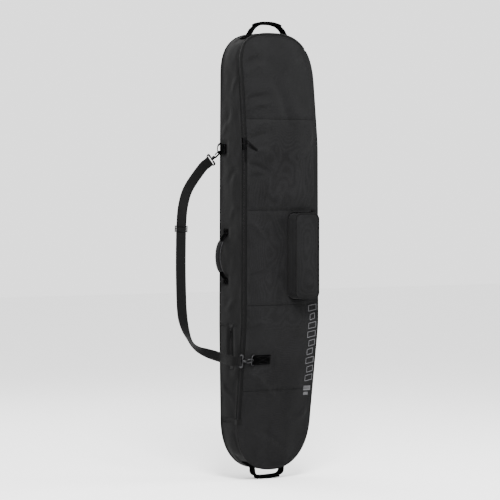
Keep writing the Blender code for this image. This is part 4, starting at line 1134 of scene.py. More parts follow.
def make_pocket_zipper():
    """Tape and coil along the pocket's top, with both ends turned down."""
    low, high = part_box("pocket_zip_tape")
    top_z = high[2] + 0.0006
    middle_y = (low[1] + high[1]) / 2
    path = []
    for j in range(31):
        x = low[0] - 0.012 + (high[0] - low[0] + 0.024) * j / 30
        path.append(Vector((x, middle_y, top_z - 0.0004 - 0.0012 * abs(2 * (j / 30) - 1) ** 6)))
    tape = ribbon("pocket_zip_tape_weave", path, (0, 1, 0), 0.011, 0.0012, TAPE)
    put(tape, "root", "pocket_zip_tape", slot="zip_tape")
    put(straight_coil("pocket_zip_coil_turns", path[2:-2], (0, 0, 1)), "root", slot="zip_coil")
    for n, off in enumerate((-0.0078, 0.0078)):
        row = [p + Vector((0, off, 0.0007)) for p in path]
        put(dashes(f"pocket_zip_stitch_{n}", row, (0, 0, 1), SMALL_STITCH), "root", slot="zip_tape")


# ---------------------------------------------------------------- sliders and pulls
def arch(name, place, half, rise, radius, material, foot=0.0):
    """Wire arch across v, standing off w."""
    points = [place @ Vector((0.0, -half, foot))]
    for k in range(13):
        turn = math.pi * k / 12
        height = foot + 0.001 + rise * math.sin(turn) ** 0.6
        points.append(place @ Vector((0.0, -half * math.cos(turn), height)))
    points.append(place @ Vector((0.0, half, foot)))
    return tube(name, points, radius, place.to_3x3() @ Vector((1, 0, 0)), material, sides=10)


def corner_frame(z, z_below):
    """On the front corner of the zipper side: u up the zipper, v outward, w forward."""
    here = Vector((-half_width(z), at_height(FRONT_PROFILE, z), z))
    below = Vector((-half_width(z_below), at_height(FRONT_PROFILE, z_below), z_below))
    return frame_at(here, here - below, (-1.0, 0.0, 0.0))


SLIDER_INNER, SLIDER_OUTER = 0.0032, 0.0050
SLIDER_SHOULDERS = [(-0.0105, 0.0058), (-0.0085, 0.0070), (0.0, 0.0080), (0.0065, 0.0092), (0.0095, 0.0092),
                    (0.0105, 0.0070)]           # distance along the slider, reach of its wings
PULL_LIFT = 0.0012
PULL_HALF = 0.0008            # half thickness of every puller plate


def make_corner_slider(name, z, z_below):
    """Angled slider with flared shoulders, following the coil round the corner."""
    place = corner_frame(z, z_below)
    inner, outer = SLIDER_INNER, SLIDER_OUTER
    rings = []
    for u, wide in SLIDER_SHOULDERS:
        section = [(-wide, inner), (inner, inner), (inner, -wide), (outer, -wide), (outer, outer * 0.55),
                   (outer * 0.55, outer), (-wide, outer)]
        rings.append([place @ Vector((u, v, w)) for v, w in section])
    slider = soften(loft(name + "_plate", rings, BLACK_PLATING_AND_SHADE, smooth_deg=30), 0.0005)
    put(slider, name, name, slot="gunmetal")
    return place


def pull_frame(slider_place, direction):
    """Frame of a pull that hangs from a slider in a direction."""
    origin = slider_place @ Vector((0.0, -0.0035, SLIDER_OUTER + PULL_LIFT))
    forward = slider_place.to_3x3() @ Vector((0.0, 0.0, 1.0))
    along = Vector(direction) - Vector(direction).dot(forward) * forward
    return frame_at(origin, along, forward.cross(along))


def mirrored_edge(points):
    """A closed (u, v) outline from one half of it, mirrored in v."""
    return points + [(u, -v) for u, v in reversed(points)]


def make_main_pull(prefix, place, metal_length, tab_length):
    """Pierced metal puller with a ribbed soft tab moulded on its end."""
    body = prefix + "_pull"
    bridge_place = place @ Matrix.Rotation(math.radians(90), 4, "Z") @ Matrix.Translation((0, 0, -PULL_LIFT))
    bridge = arch(prefix + "_slider_bridge", bridge_place, 0.0041, 0.0027, 0.0010, BLACK_PLATING_AND_SHADE, -0.0002)
    put(bridge, prefix + "_slider", slot="gunmetal")
    low = place @ Matrix.Translation((0.0, 0.0, -PULL_HALF))
    eye = rounded_box((0.0009, -0.0031), (0.0068, 0.0031), 0.0014)
    window = rounded_box((0.0105, -0.0026), (metal_length - 0.007, 0.0026), 0.0022)
    neck = metal_length + 0.001
    edge = mirrored_edge([(-0.0008, -0.0042), (0.0, -0.0050), (0.009, -0.0052), (neck - 0.004, -0.0046),
                          (neck, -0.0036)])
    metal_plate = plate(prefix + "_puller_plate", [edge, eye, window], low, 2 * PULL_HALF, BLACK_PLATING_AND_SHADE, 0.0004)
    put(metal_plate, body, prefix + "_puller", slot="gunmetal")
    rings = []
    for k in range(33):
        share = k / 32
        u = metal_length - 0.002 + (tab_length + 0.002) * share
        wide = 0.0052 * (1 - abs(2 * share - 1) ** 8 * 0.55) * (0.86 + 0.14 * math.cos(2 * math.pi * share))
        rib = 0.00022 * math.cos(2 * math.pi * share * 9) * ease(min(share, 1 - share), 0.18)
        thick = 0.0016 * (1 - abs(2 * share - 1) ** 6 * 0.5) + rib
        rings.append([place @ Vector((u, v, w)) for v, w in soft_round(wide, thick, 0.6, 0.6, 20)])
    tab = loft(prefix + "_pull_tab_grip", rings, PULL, smooth_deg=60)
    put(tab, body, prefix + "_pull_tab", slot="pull")


def make_small_slider(name, place):
    """Small slider: a shouldered plate; u along the zipper, w off it."""
    rings = []
    for w, grow in ((0.0, 0.0), (0.0022, 0.0), (0.0030, -0.0008)):
        edge = mirrored_edge([(-0.0080 - grow, 0.0030 + grow), (-0.0050, 0.0045 + grow),
                              (0.0060, 0.0045 + grow), (0.0080 + grow, 0.0036 + grow)])
        rings.append([place @ Vector((u, v, w)) for u, v in edge])
    put(soften(loft(name + "_plate", rings, BLACK_PLATING_AND_SHADE, smooth_deg=30), 0.0004), name, name, slot="gunmetal")


def make_small_pull(name, place):
    """Short moulded pull with a pierced head."""
    low = place @ Matrix.Translation((0.0, 0.0, -PULL_HALF))
    edge = mirrored_edge([(-0.0007, -0.0034), (0.006, -0.0040), (0.010, -0.0030), (0.016, -0.0034),
                          (0.026, -0.0040), (0.0295, -0.0026)])
    hole = rounded_box((0.0010, -0.0020), (0.0054, 0.0020), 0.0010)
    put(plate(name + "_tag", [edge, hole], low, 2 * PULL_HALF, PULL, 0.0004), name, name, slot="pull")


def joint_at(name):
    return Vector(JOINTS[name]["pos_m"])


def make_pulls():
    upper = make_corner_slider("upper_slider", -0.4485, KNEE_TOP_Z)
    lower = make_corner_slider("lower_slider", -0.4735, KNEE_LOW_Z)
    make_main_pull("upper", pull_frame(upper, (0.80, 0.0, -0.60)), 0.026, 0.038)
    make_main_pull("lower", pull_frame(lower, (0.0, 0.0, -1.0)), 0.022, 0.032)
    low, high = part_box("pocket_slider")
    middle = Vector(((low[0] + high[0]) / 2, (low[1] + high[1]) / 2, low[2]))
    make_small_slider("pocket_slider", frame_at(middle, (1, 0, 0), (0, 1, 0)))
    make_small_pull("pocket_pull", frame_at(joint_at("pocket_pull_lift"), (0, -1, 0), (1, 0, 0)))
    bridge_place = frame_at(middle + Vector((0, -0.001, 0.0024)), (1, 0, 0), (0, 1, 0))
    bridge = arch("pocket_slider_bridge", bridge_place, 0.0030, 0.0030, 0.0008, BLACK_PLATING_AND_SHADE)
    put(bridge, "pocket_slider", slot="gunmetal")
    low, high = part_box("id_slider")
    middle = Vector((high[0], (low[1] + high[1]) / 2, (low[2] + high[2]) / 2))
    make_small_slider("id_slider", frame_at(middle, (0, 0, 1), (0, -1, 0)))
    make_small_pull("id_pull", frame_at(joint_at("id_pull_lift"), (0, 0, -1), (0, -1, 0)))


# ---------------------------------------------------------------- gusset pocket
def make_id_zipper():
    """Small zipper on the gusset, with a sewn stop at each end."""
    low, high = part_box("id_zip_tape")
    y = (low[1] + high[1]) / 2
    zs = [high[2] + (low[2] - high[2]) * j / 40 for j in range(41)]
    path = [left_at(y, z, 0.0008) for z in zs]
    tape = ribbon("id_zip_tape_weave", path, (0, 1, 0), 0.009, 0.0010, TAPE)
    put(tape, "root", "id_zip_tape", slot="zip_tape")
    put(straight_coil("id_zip_coil_turns", path, (-1, 0, 0)), "root", slot="zip_coil")
    for n, off in enumerate((-0.0066, 0.0066)):
        row = [left_at(y + off, z, 0.0014) for z in zs]
        put(dashes(f"id_zip_stitch_{n}", row, (-1, 0, 0), SMALL_STITCH), "root", slot="zip_tape")
    for n, z in enumerate((high[2] + 0.006, low[2] - 0.006)):
        end = [left_at(y - 0.012 + 0.024 * j / 8, z, 0.0012) for j in range(9)]
        put(ribbon(f"id_zip_end_{n}", end, (0, 0, 1), 0.006, 0.0014, WEBBING), "root", slot="zip_tape")


def make_id_pouch():
    """Flat pouch inside the gusset, sagging a little."""
    low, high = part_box("id_pocket_pouch")
    rings = []
    for j in range(25):
        z = high[2] + (low[2] - high[2]) * j / 24
        inner_x = -half_width(z) + WALL + 0.0016
        sag = 0.0022 * math.sin(math.pi * j / 24)
        section = []
        for i in range(13):
            x = inner_x + 0.0010 + sag * math.sin(math.pi * (i / 12))
            section.append(Vector((x, low[1] + (high[1] - low[1]) * (i / 12), z)))
        rings.append(section + [Vector((inner_x, p.y, z)) for p in reversed(section)])
    put(loft("id_pocket_pouch_cloth", rings, LINING, smooth_deg=60), "root", "id_pocket_pouch", slot="lining")


# ---------------------------------------------------------------- webbing handles
def mirrored(half_path):
    """A half path from its foot to its middle, then the same back, mirrored across x."""
    return [Vector(p) for p in half_path] + [Vector((-p[0], p[1], p[2])) for p in reversed(half_path[:-1])]


def top_spot(x, lift, upper=True):
    """Point on the top or the bottom of the body at x, where the handles are sewn."""
    ends = [k for k in range(COUNT) if (LOOP[k][1] > -0.9) == upper]
    near = min(ends, key=lambda k: abs(LOOP[k][0] - x))
    nx, nz = OUTWARD[near]
    return Vector((LOOP[near][0] + nx * lift, 0.0, LOOP[near][1] + nz * lift))


def face_normals(path, wide):
    """Face normal of a ribbon along a path."""
    return [t.cross(Vector(wide)).normalized() for t in tangents(path)]


def side_of(path, wide, direction):
    """1 or -1: the side on which the middle of a ribbon faces a direction."""
    return 1 if face_normals(path, wide)[len(path) // 2].dot(Vector(direction)) > 0 else -1


def edge_stitches(name, path, wide, off, lift, body, facing, stitch=EDGE_STITCH):
    """Two rows of stitches along a ribbon; facing is 1 or -1 for its side."""
    normals = [facing * n for n in face_normals(path, wide)]
    for n, side in enumerate((-off, off)):
        row = [p + Vector(wide) * side + normal * lift for p, normal in zip(path, normals)]
        put(dashes(f"{name}_{n}", row, normals, stitch), body, slot="webbing")


def box_stitch(name, centre, u, v, half_u, half_v, body):
    """Sewn box with a cross in it."""
    u, v = Vector(u).normalized(), Vector(v).normalized()
    spots = [(-1, -1), (1, -1), (1, 1), (-1, 1), (-1, -1), (1, 1), (1, -1), (-1, 1)]
    path = [Vector(centre) + u * (a * half_u) + v * (b * half_v) for a, b in spots]
    put(dashes(name, path, u.cross(v), BOX_STITCH), body, slot="webbing")


HANDLE_THICK, ANCHOR_THICK = 0.0045, 0.0036
HANDLE_HALF = 0.019
HANDLE_STITCH = 0.0155        # rows of stitches this far from the middle
ACROSS = Vector((0, 1, 0))    # width direction of all three handles
GRIP_HALF = (0.0138, 0.0060)
GRIP_RISE = 0.0042            # the folded grip stands to one side of the webbing
BINDING_GAIN = 1.12           # the bound ends are this much thicker


def grip(name, path, body, facing):
    """Webbing folded over on itself for the hand, with bound ends; facing is its thick side."""
    normals = face_normals(path, ACROSS)
    rings = []
    for k, (point, normal) in enumerate(zip(path, normals)):
        share = k / (len(path) - 1)
        bound = BINDING_GAIN if share < 0.10 or share > 0.90 else 1.0
        section = soft_round(GRIP_HALF[0] * bound, GRIP_HALF[1] * bound, 0.6, 0.7, 24)
        rings.append([point + ACROSS * u + normal * (v + facing * GRIP_RISE) for u, v in section])
    put(loft(name, rings, HANDLE_WEBBING, smooth_deg=60), body, slot="webbing")
    edge_stitches(name + "_stitch", path, ACROSS, 0.0095, 0.0104, body, facing, SEAM_STITCH)


def make_handle(name, path, body, facing, grip_reach):
    """Webbing loop across the body's end, its stitching and its grip."""
    loop_piece = ribbon(name + "_webbing", path, ACROSS, HANDLE_HALF, HANDLE_THICK, HANDLE_WEBBING)
    put(loop_piece, body, name, slot="webbing")
    edge_stitches(name + "_stitch", path, ACROSS, HANDLE_STITCH, HANDLE_THICK / 2, body, facing)
    grip(name + "_grip", [p for p in path if abs(p.x) < grip_reach], body, facing)


def make_top_handle():
    lift = HANDLE_THICK / 2 + 0.0009
    half = [top_spot(-0.112, lift), top_spot(-0.099, lift), top_spot(-0.087, lift + 0.001),
            (-0.078, 0, -0.0335), (-0.069, 0, -0.0200), (-0.050, 0, -0.0055), (-0.024, 0, 0.0012),
            (0.0, 0, HANDLE_THICK / 2)]
    path = smooth_path(mirrored(half), 8)
    make_handle("top_handle", path, "root", side_of(path, ACROSS, (0, 0, 1)), 0.056)
    for side, sign in (("left", -1), ("right", 1)):
        a, b = top_spot(sign * 0.111, lift), top_spot(sign * 0.090, lift)
        normal = (b - a).normalized().cross(ACROSS)
        normal = normal if normal.z > 0 else -normal
        middle = (a + b) / 2 + normal * (HANDLE_THICK / 2 + 0.0002)
        box_stitch("top_handle_box_" + side, middle, -normal.cross(ACROSS), ACROSS, 0.0095, 0.0125, "root")


def make_bottom_handle():
    axis = joint_at("bottom_handle_swing").z
    half = [(-0.067, 0, axis - 0.0075), (-0.0650, 0, -1.7235), (-0.0560, 0, -1.7335), (-0.038, 0, -1.7375),
            (0.0, 0, -1.7390)]
    path = smooth_path(mirrored(half), 10)
    make_handle("bottom_handle", path, "bottom_handle", side_of(path, ACROSS, (0, 0, -1)), 0.050)
    for side, sign in (("left", -1), ("right", 1)):
        feet = [top_spot(sign * x, 0.0022, False) for x in (0.100, 0.092, 0.084, 0.077)]
        feet += [top_spot(sign * 0.071, 0.0030, False), Vector((sign * 0.066, 0, axis - 0.0072))]
        anchor = ribbon("bottom_handle_anchor_webbing_" + side, smooth_path(feet, 4), ACROSS, HANDLE_HALF,
                        ANCHOR_THICK, HANDLE_WEBBING)
        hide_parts("bottom_handle_anchor_" + side)
        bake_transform(anchor)
        normal = (feet[0] - feet[3]).cross(ACROSS).normalized()
        normal = normal if normal.z < 0 else -normal
        middle = (feet[0] + feet[3]) / 2 + normal * 0.0020
        box_stitch("bottom_handle_box_" + side, middle, ACROSS, normal.cross(ACROSS), 0.0125, 0.0085, "root")


SIDE_HANDLE = joint_at("side_handle_swing")
SIDE_HALF, SIDE_THICK = 0.014, 0.0030
SIDE_LEG = [(0.0065, 0.079), (0.0170, 0.063), (0.0290, 0.036)]      # reach off the body, height over the axis
WRAP_HALF = (0.0160, 0.0047)


def side_point(reach, rise):
    return Vector((SIDE_HANDLE.x - reach, SIDE_HANDLE.y, SIDE_HANDLE.z + rise))


def make_side_handle():
    """Webbing loop, with a padded wrap round its middle."""
    legs = [side_point(*spot) for spot in SIDE_LEG]
    legs += [side_point(0.0340, 0)] + [side_point(reach, -rise) for reach, rise in reversed(SIDE_LEG)]
    path = smooth_path(legs, 12)
    facing = side_of(path, ACROSS, (-1, 0, 0))
    loop_piece = ribbon("side_handle_webbing", path, ACROSS, SIDE_HALF, SIDE_THICK, HANDLE_WEBBING)
    put(loop_piece, "side_handle", "side_handle", slot="webbing")
    edge_stitches("side_handle_stitch", path, ACROSS, 0.0112, SIDE_THICK / 2, "side_handle", facing)
    make_side_wrap(path[15:-15])
    for side, sign in (("upper", 1), ("lower", -1)):
        heights = [SIDE_HANDLE.z + sign * z for z in (0.106, 0.100, 0.092, 0.086)]
        feet = [left_at(SIDE_HANDLE.y, z, 0.0012) for z in heights]
        feet += [side_point(0.0028, sign * 0.081), side_point(0.0062, sign * 0.0785)]
        anchor = ribbon("side_handle_anchor_webbing_" + side, smooth_path(feet, 5), ACROSS, 0.016, 0.0022,
                        HANDLE_WEBBING)
        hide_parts("side_handle_anchor_" + side)
        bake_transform(anchor)
        middle = (feet[0] + feet[3]) / 2 + Vector((-0.0014, 0, 0))
        box_stitch("side_handle_box_" + side, middle, (0, 0, 1), (0, 1, 0), 0.0080, 0.0115, "root")


def make_side_wrap(core):
    """Stuffed sleeve round the handle's middle, with corded and stitched edges."""
    rings = []
    normals = face_normals(core, ACROSS)
    for k, (point, normal) in enumerate(zip(core, normals)):
        share = k / (len(core) - 1)
        full = 1 - abs(2 * share - 1) ** 8 * 0.5
        section = soft_round(WRAP_HALF[0], WRAP_HALF[1] * full, 0.55, 0.7, 28)
        rings.append([point + u * ACROSS + v * normal for u, v in section])
    wrap = loft("side_handle_wrap_pad", rings, BINDING, smooth_deg=70)
    ends = (core[0], core[-1])
    inflate(wrap, lambda co: min((co - e).length for e in ends) < 0.020, 0.0035, 5.0, FINE_VOXEL)
    put(wrap, "side_handle", "side_handle_wrap", slot="padding")
    out = side_of(core, ACROSS, (-1, 0, 0))
    for n, side in enumerate((-1, 1)):
        row = [p + ACROSS * (side * 0.0158) for p in core]
        cord = tube(f"side_handle_wrap_cord_{n}", row, 0.0013, ACROSS, EDGE_BINDING, sides=8)
        put(cord, "side_handle", slot="piping")
        row = [p + ACROSS * (side * 0.0115) + normal * (out * 0.0058) for p, normal in zip(core, normals)]
        seam = dashes(f"side_handle_wrap_stitch_{n}", row, [out * normal for normal in normals])
        put(seam, "side_handle", slot="padding")


# ---------------------------------------------------------------- rings, tabs and hooks
RING_HALF, RING_DEPTH, WIRE = 0.0220, 0.0180, 0.0020
TAB_HALF, TAB_OUTER, TAB_THICK = 0.0180, 0.0040, 0.0022
EYE_HALF, EYE_DEPTH = 0.0230, 0.0110
HOOK_TOP, HOOK_HALF, HOOK_WIRE, GATE_WIRE = 0.056, 0.0115, 0.0028, 0.0022
HOOK_TILT = math.radians(46)

UPPER_RING = joint_at("upper_ring_swing")
UPPER_RING_PLACE = frame_at(UPPER_RING, (-1, 0, 0), (0, 0, 1))
UPPER_TAB_PLACE = frame_at(UPPER_RING, (0, 1, 0), (0, 0, -1))
UPPER_WAY = Vector((0.783, 0.0, 0.622)).normalized()
UPPER_EYE = joint_at("upper_hook_swivel")
UPPER_HOOK_PLACE = frame_at(UPPER_EYE, UPPER_WAY, (-0.622, 0, 0.783))
LOWER_RING = joint_at("lower_ring_swing")
SLOPE = math.atan2(0.048, KNEE_LOW_Z - HIP_Z)
SLOPE_UP = Vector((0.0, -math.sin(SLOPE), math.cos(SLOPE)))
SLOPE_OUT = Vector((0.0, -math.cos(SLOPE), -math.sin(SLOPE)))
LOWER_LIFT = math.radians(30.7)
LOWER_RING_WAY = math.sin(LOWER_LIFT) * SLOPE_OUT + Vector((-math.cos(LOWER_LIFT), 0.0, 0.0))
LOWER_RING_PLACE = frame_at(LOWER_RING, LOWER_RING_WAY, -SLOPE_UP)
LOWER_TAB_PLACE = frame_at(LOWER_RING, (-1, 0, 0), -SLOPE_UP)
LOWER_WAY = (Vector((1.0, 0.0, 0.0)) + 0.07 * SLOPE_OUT).normalized()
LOWER_EYE = joint_at("lower_hook_swivel")
LOWER_HOOK_PLACE = frame_at(LOWER_EYE, LOWER_WAY, SLOPE_UP)


RING_PLACES = {"upper": UPPER_RING_PLACE, "lower": LOWER_RING_PLACE}
TABS = {"upper": (UPPER_TAB_PLACE, 0.030), "lower": (LOWER_TAB_PLACE, 0.078)}      # place, length of the tab
HOOK_PLACES = {"upper": UPPER_HOOK_PLACE, "lower": LOWER_HOOK_PLACE}
BARREL = [(0.0133, 0.0040), (0.0138, 0.0052), (0.0158, 0.0061), (0.0175, 0.0062), (0.0181, 0.0054),
          (0.0190, 0.0054), (0.0196, 0.0062), (0.0240, 0.0062), (0.0258, 0.0056), (0.0272, 0.0040)]
BOSS = [(0.0090, 0.0030), (0.0095, 0.0046), (0.0125, 0.0050), (0.0131, 0.0044)]
SHANK = [(0.0235, 0.0), (0.0270, -0.0035), (0.0305, -0.0090), (0.0345, -HOOK_HALF), (0.0400, -HOOK_HALF)]
GATE = [(0.0292, 0.0078), (0.0318, 0.0100), (0.0345, HOOK_HALF), (0.0380, HOOK_HALF), (0.0418, HOOK_HALF)]
THUMB = [(0.0340, 0.0), (0.0352, 0.0014), (0.0368, 0.0014)]


def across_of(place, axis):
    """A direction of a local frame in the world."""
    return place.to_3x3() @ Vector(axis)


def arc(radius, start, stop, step):
    """Points of an arc about the origin; angles in degrees."""
    turns = [math.radians(a) for a in range(start, stop, step)]
    return [(radius * math.cos(t), radius * math.sin(t)) for t in turns]


def make_ring(prefix, place):
    """D ring: a straight bar in the tab and a round bow."""
    bow = [(0.0, v) for v in (0.0, -0.008, -0.016, -0.0205)]
    bow += [(RING_DEPTH * u, RING_HALF * v) for u, v in arc(1.0, -80, 81, 8)]
    bow += [(0.0, v) for v in (0.0205, 0.016, 0.008)]
    points = [place @ Vector((u, v, 0.0)) for u, v in bow]
    heavy = 0.0013 * BULK[prefix]
    thick = [WIRE + heavy * ease(u - 0.003, 0.004) * (1 - ease(u - 0.0145, 0.003)) for u, _ in bow]
    ring = tube(prefix + "_dring_wire", points, thick, across_of(place, (0, 0, 1)), FINISH_AND_SHADE[prefix],
                closed=True, sides=16)
    put(ring, prefix + "_ring", prefix + "_dring", slot="gunmetal")


def make_tab(prefix, place, leg):
    """Webbing folded round the ring's bar and sewn through both layers."""
    middle = TAB_OUTER - TAB_THICK / 2
    path = [(-leg, -middle), (-leg * 0.7, -middle), (-leg * 0.4, -middle), (-0.006, -middle)]
    path += arc(middle, -80, 131, 15)
    inner = -TAB_OUTER + TAB_THICK
    path += [(-0.0075, inner + 0.0016), (-leg * 0.4, inner + 0.0010), (-leg * 0.94, inner + 0.0009)]
    points = smooth_path([place @ Vector((u, 0.0, w)) for u, w in path], 3)
    side = across_of(place, (0, 1, 0))
    tab = ribbon(prefix + "_dring_tab_webbing", points, side, TAB_HALF, 0.0019, HANDLE_WEBBING)
    put(tab, "root", prefix + "_dring_tab", slot="webbing")
    reach = leg * 0.5 - 0.007
    centre = place @ Vector((-leg * 0.5 - 0.003, 0.0, inner + 0.0020))
    box_stitch(prefix + "_dring_tab_box", centre, across_of(place, (1, 0, 0)), side, reach, 0.0135, "root")


def lathe(name, place, profile, material, sides=28):
    """Turned piece about the u axis from (u, radius) pairs."""
    rings = []
    for u, radius in profile:
        turns = [2 * math.pi * j / sides for j in range(sides)]
        rings.append([place @ Vector((u, radius * math.cos(t), radius * math.sin(t))) for t in turns])
    return loft(name, rings, material, smooth_deg=35)


def make_eye(prefix, place):
    """Rectangular eye of a hook, heavier away from its middle, and its boss."""
    corners = rounded_box((0.0, -EYE_HALF), (EYE_DEPTH, EYE_HALF), 0.0032, 6)
    loop = []
    for k, (u, v) in enumerate(corners):
        u_next, v_next = corners[(k + 1) % len(corners)]
        cuts = max(1, int(math.hypot(u_next - u, v_next - v) / 0.003))
        loop += [(u + (u_next - u) * n / cuts, v + (v_next - v) * n / cuts) for n in range(cuts)]
    points = [place @ Vector((u, v, 0)) for u, v in loop]
    thick = [WIRE + 0.0016 * ease(u - 0.002, 0.004) * ease(abs(v) - 0.007, 0.003) for u, v in loop]
    flat = across_of(place, (0, 0, 1))
    eye = tube(prefix + "_hook_eye_wire", points, thick, flat, FINISH_AND_SHADE[prefix], closed=True, sides=16)
    put(eye, "root", prefix + "_hook_eye", slot="gunmetal")
    put(lathe(prefix + "_hook_eye_boss", place, BOSS, FINISH_AND_SHADE[prefix]), "root", slot="gunmetal")


def make_hook(prefix, place):
    """Die-cast swivel hook: eye, turned barrel, tapered bow and sprung gate."""
    make_eye(prefix, place)
    # On the upper hook the material is the near-black copy of the gunmetal: painted shade.
    finish_and_shade, body, gate_body = FINISH_AND_SHADE[prefix], prefix + "_hook", prefix + "_gate"
    put(lathe(prefix + "_hook_barrel", place, BARREL, finish_and_shade), body, prefix + "_hook", slot="gunmetal")
    tilted = place @ Matrix.Rotation(HOOK_TILT, 4, "X")
    flat = across_of(tilted, (0, 0, 1))
    bend = HOOK_TOP - HOOK_HALF
    path = list(SHANK)
    for k in range(17):
        turn = math.radians(180 - 11.25 * k)
        path.append((bend + HOOK_HALF * math.sin(turn), HOOK_HALF * math.cos(turn)))
    path.append((0.0427, HOOK_HALF))
    points = smooth_path([tilted @ Vector((u, v, 0.0)) for u, v in path], 3)
    shares = [k / len(points) for k in range(len(points))]
    radii = [HOOK_WIRE * (1.12 - 0.24 * share + BULK[prefix] * (0.20 - 0.24 * share)) for share in shares]
    put(tube(prefix + "_hook_bow", points, radii, flat, finish_and_shade, sides=18), body, slot="gunmetal")
    points = smooth_path([tilted @ Vector((u, v, 0.0)) for u, v in GATE], 4)
    gate = tube(prefix + "_hook_gate_bar", points, GATE_WIRE, flat, finish_and_shade, sides=14)
    put(gate, gate_body, prefix + "_hook_gate", slot="gunmetal")
    points = [tilted @ Vector((u, HOOK_HALF + 0.0012, w)) for u, w in THUMB]
    thumb = tube(prefix + "_gate_thumb", points, [0.0014, 0.0017, 0.0011], flat, finish_and_shade, sides=10)
    put(thumb, gate_body, slot="gunmetal")


# ---------------------------------------------------------------- shoulder strap
STRAP_THICK = 0.0016
STRAP_HALF = 0.019
WRAP, WRAP_STEPS = 0.0031, 14           # radius of the webbing's turn round a bar
WRAP_EASE = (27, 15)                    # samples over which it leaves the upper bar and joins the lower one
RETURN_ROOM = 0.0032                    # the doubled end lies this far behind the strap
STRAP_ROUTE = [               # middle of the webbing and its width direction
    (UPPER_EYE - 0.012 * UPPER_WAY, (0.62, 0.0, -0.78)),
    (UPPER_EYE - 0.045 * UPPER_WAY, (0.62, -0.05, -0.78)),
    ((-0.3180, 0.056, -0.627), (0.80, -0.25, -0.55)),
    ((-0.3440, 0.053, -0.689), (0.84, -0.45, -0.25)),
    ((-0.3560, 0.048, -0.760), (0.84, -0.54, 0.0)),
    ((-0.3610, 0.044, -0.860), (0.84, -0.54, 0.0)),
    ((-0.3635, 0.040, -0.967), (0.84, -0.54, 0.0)),
    ((-0.3590, 0.040, -1.090), (0.80, -0.60, 0.0)),
    ((-0.3470, 0.040, -1.155), (0.45, -0.89, 0.0)),
    ((-0.3230, 0.040, -1.208), (-0.05, -0.99, 0.05)),
    ((-0.2946, 0.040, -1.236), (0.0, -0.94, 0.35)),
    ((-0.2564, 0.036, -1.255), (0.10, -0.60, 0.79)),
    ((-0.2165, 0.012, -1.271), (0.0, 0.0, 1.0)),
    ((-0.2125, -0.045, -1.279), (0.0, 0.0, 1.0)),
    ((-0.2070, -0.078, -1.283), (0.0, -0.08, 0.99)),
    (LOWER_EYE - 0.010 * LOWER_WAY, SLOPE_UP),
]
STRAP_STEPS = 12


def strap_samples():
    """Point, width direction and normal along the strap."""
    points = smooth_path([point for point, _ in STRAP_ROUTE], STRAP_STEPS)
    wides = smooth_path([Vector(wide) for _, wide in STRAP_ROUTE], STRAP_STEPS)
    samples = []
    for point, tangent, wide in zip(points, tangents(points), wides):
        across = (wide - wide.dot(tangent) * tangent).normalized()
        samples.append((point, across, tangent.cross(across)))
    return samples


def wrap_turn(eye, way, across, start_side):
    """Half a turn of webbing round the bar of a hook's eye."""
    turns = [math.pi * k / WRAP_STEPS for k in range(WRAP_STEPS + 1)]
    return [(eye + WRAP * (math.cos(t) * start_side + math.sin(t) * way), across) for t in turns]


def make_strap():
    samples = strap_samples()
    upper_across = Vector((0.62, 0.0, -0.78)).normalized()
    upper_face = (-UPPER_WAY).cross(upper_across).normalized()
    lower_face = LOWER_WAY.cross(SLOPE_UP).normalized()
    adjuster_low, adjuster_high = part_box("strap_adjuster")
    adjuster = (adjuster_low + adjuster_high) / 2
    near = min(samples[:120], key=lambda s: (s[0] - adjuster).length)
    place = samples.index(near)
    main = []
    for k, (point, across, normal) in enumerate(samples):
        start = WRAP * max(0.0, 1 - k / WRAP_EASE[0])
        last = WRAP * max(0.0, 1 - (len(samples) - 1 - k) / WRAP_EASE[1])
        main.append((point + (start + last) * normal, across))
    path = main + wrap_turn(LOWER_EYE, LOWER_WAY, SLOPE_UP, lower_face)
    path += [(LOWER_EYE - n * LOWER_WAY - WRAP * lower_face, SLOPE_UP) for n in (0.004, 0.010)]
    put(strap_ribbon("strap_webbing_run", path), "root", "strap_webbing", slot="webbing")
    back = []
    for k, (point, across, normal) in enumerate(samples[:place + 2]):
        room = RETURN_ROOM + (WRAP - RETURN_ROOM) * max(0.0, 1 - k / 15)
        back.append((point - room * normal, across))
    path = back[::-1] + wrap_turn(UPPER_EYE, UPPER_WAY, upper_across, -upper_face) + [main[0], main[2]]
    doubled = strap_ribbon("strap_webbing_return", path)
    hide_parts("adjuster_tail")
    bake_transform(doubled)
    stitch_rows(main, samples)
    make_adjuster(frame_at(near[0], way_at(samples, place), near[1]))
    for n, (k, reach) in enumerate(((26, 0.010), (len(samples) - 14, 0.012))):
        point, across, normal = samples[k]
        lift = (main[k][0] - point).length + STRAP_THICK / 2 + 0.0001
        box_stitch(f"strap_box_{n}", point + normal * lift, way_at(samples, k), across, reach, 0.0135, "root")


def strap_ribbon(name, path):
    """Strap webbing through (point, width direction) pairs."""
    return ribbon(name, [p for p, _ in path], [w for _, w in path], STRAP_HALF, STRAP_THICK, WEBBING)


def way_at(samples, k):
    """Direction of the strap at a sample."""
    return (samples[k + 1][0] - samples[k - 1][0]).normalized()


def stitch_rows(main, samples):
    """Edge stitching on the outer face of the strap's ends."""
    for name, low, high in (("upper", 3, 24), ("lower", len(samples) - 34, len(samples) - 3)):
        stretch = list(zip(main, samples))[low:high]
        normals = [normal for _, (_, _, normal) in stretch]
        for n, side in enumerate((-0.0160, 0.0160)):
            row = [point + across * side + normal * (STRAP_THICK / 2)
                   for (point, _), (_, across, normal) in stretch]
            put(dashes(f"strap_stitch_{name}_{n}", row, normals), "root", slot="webbing")


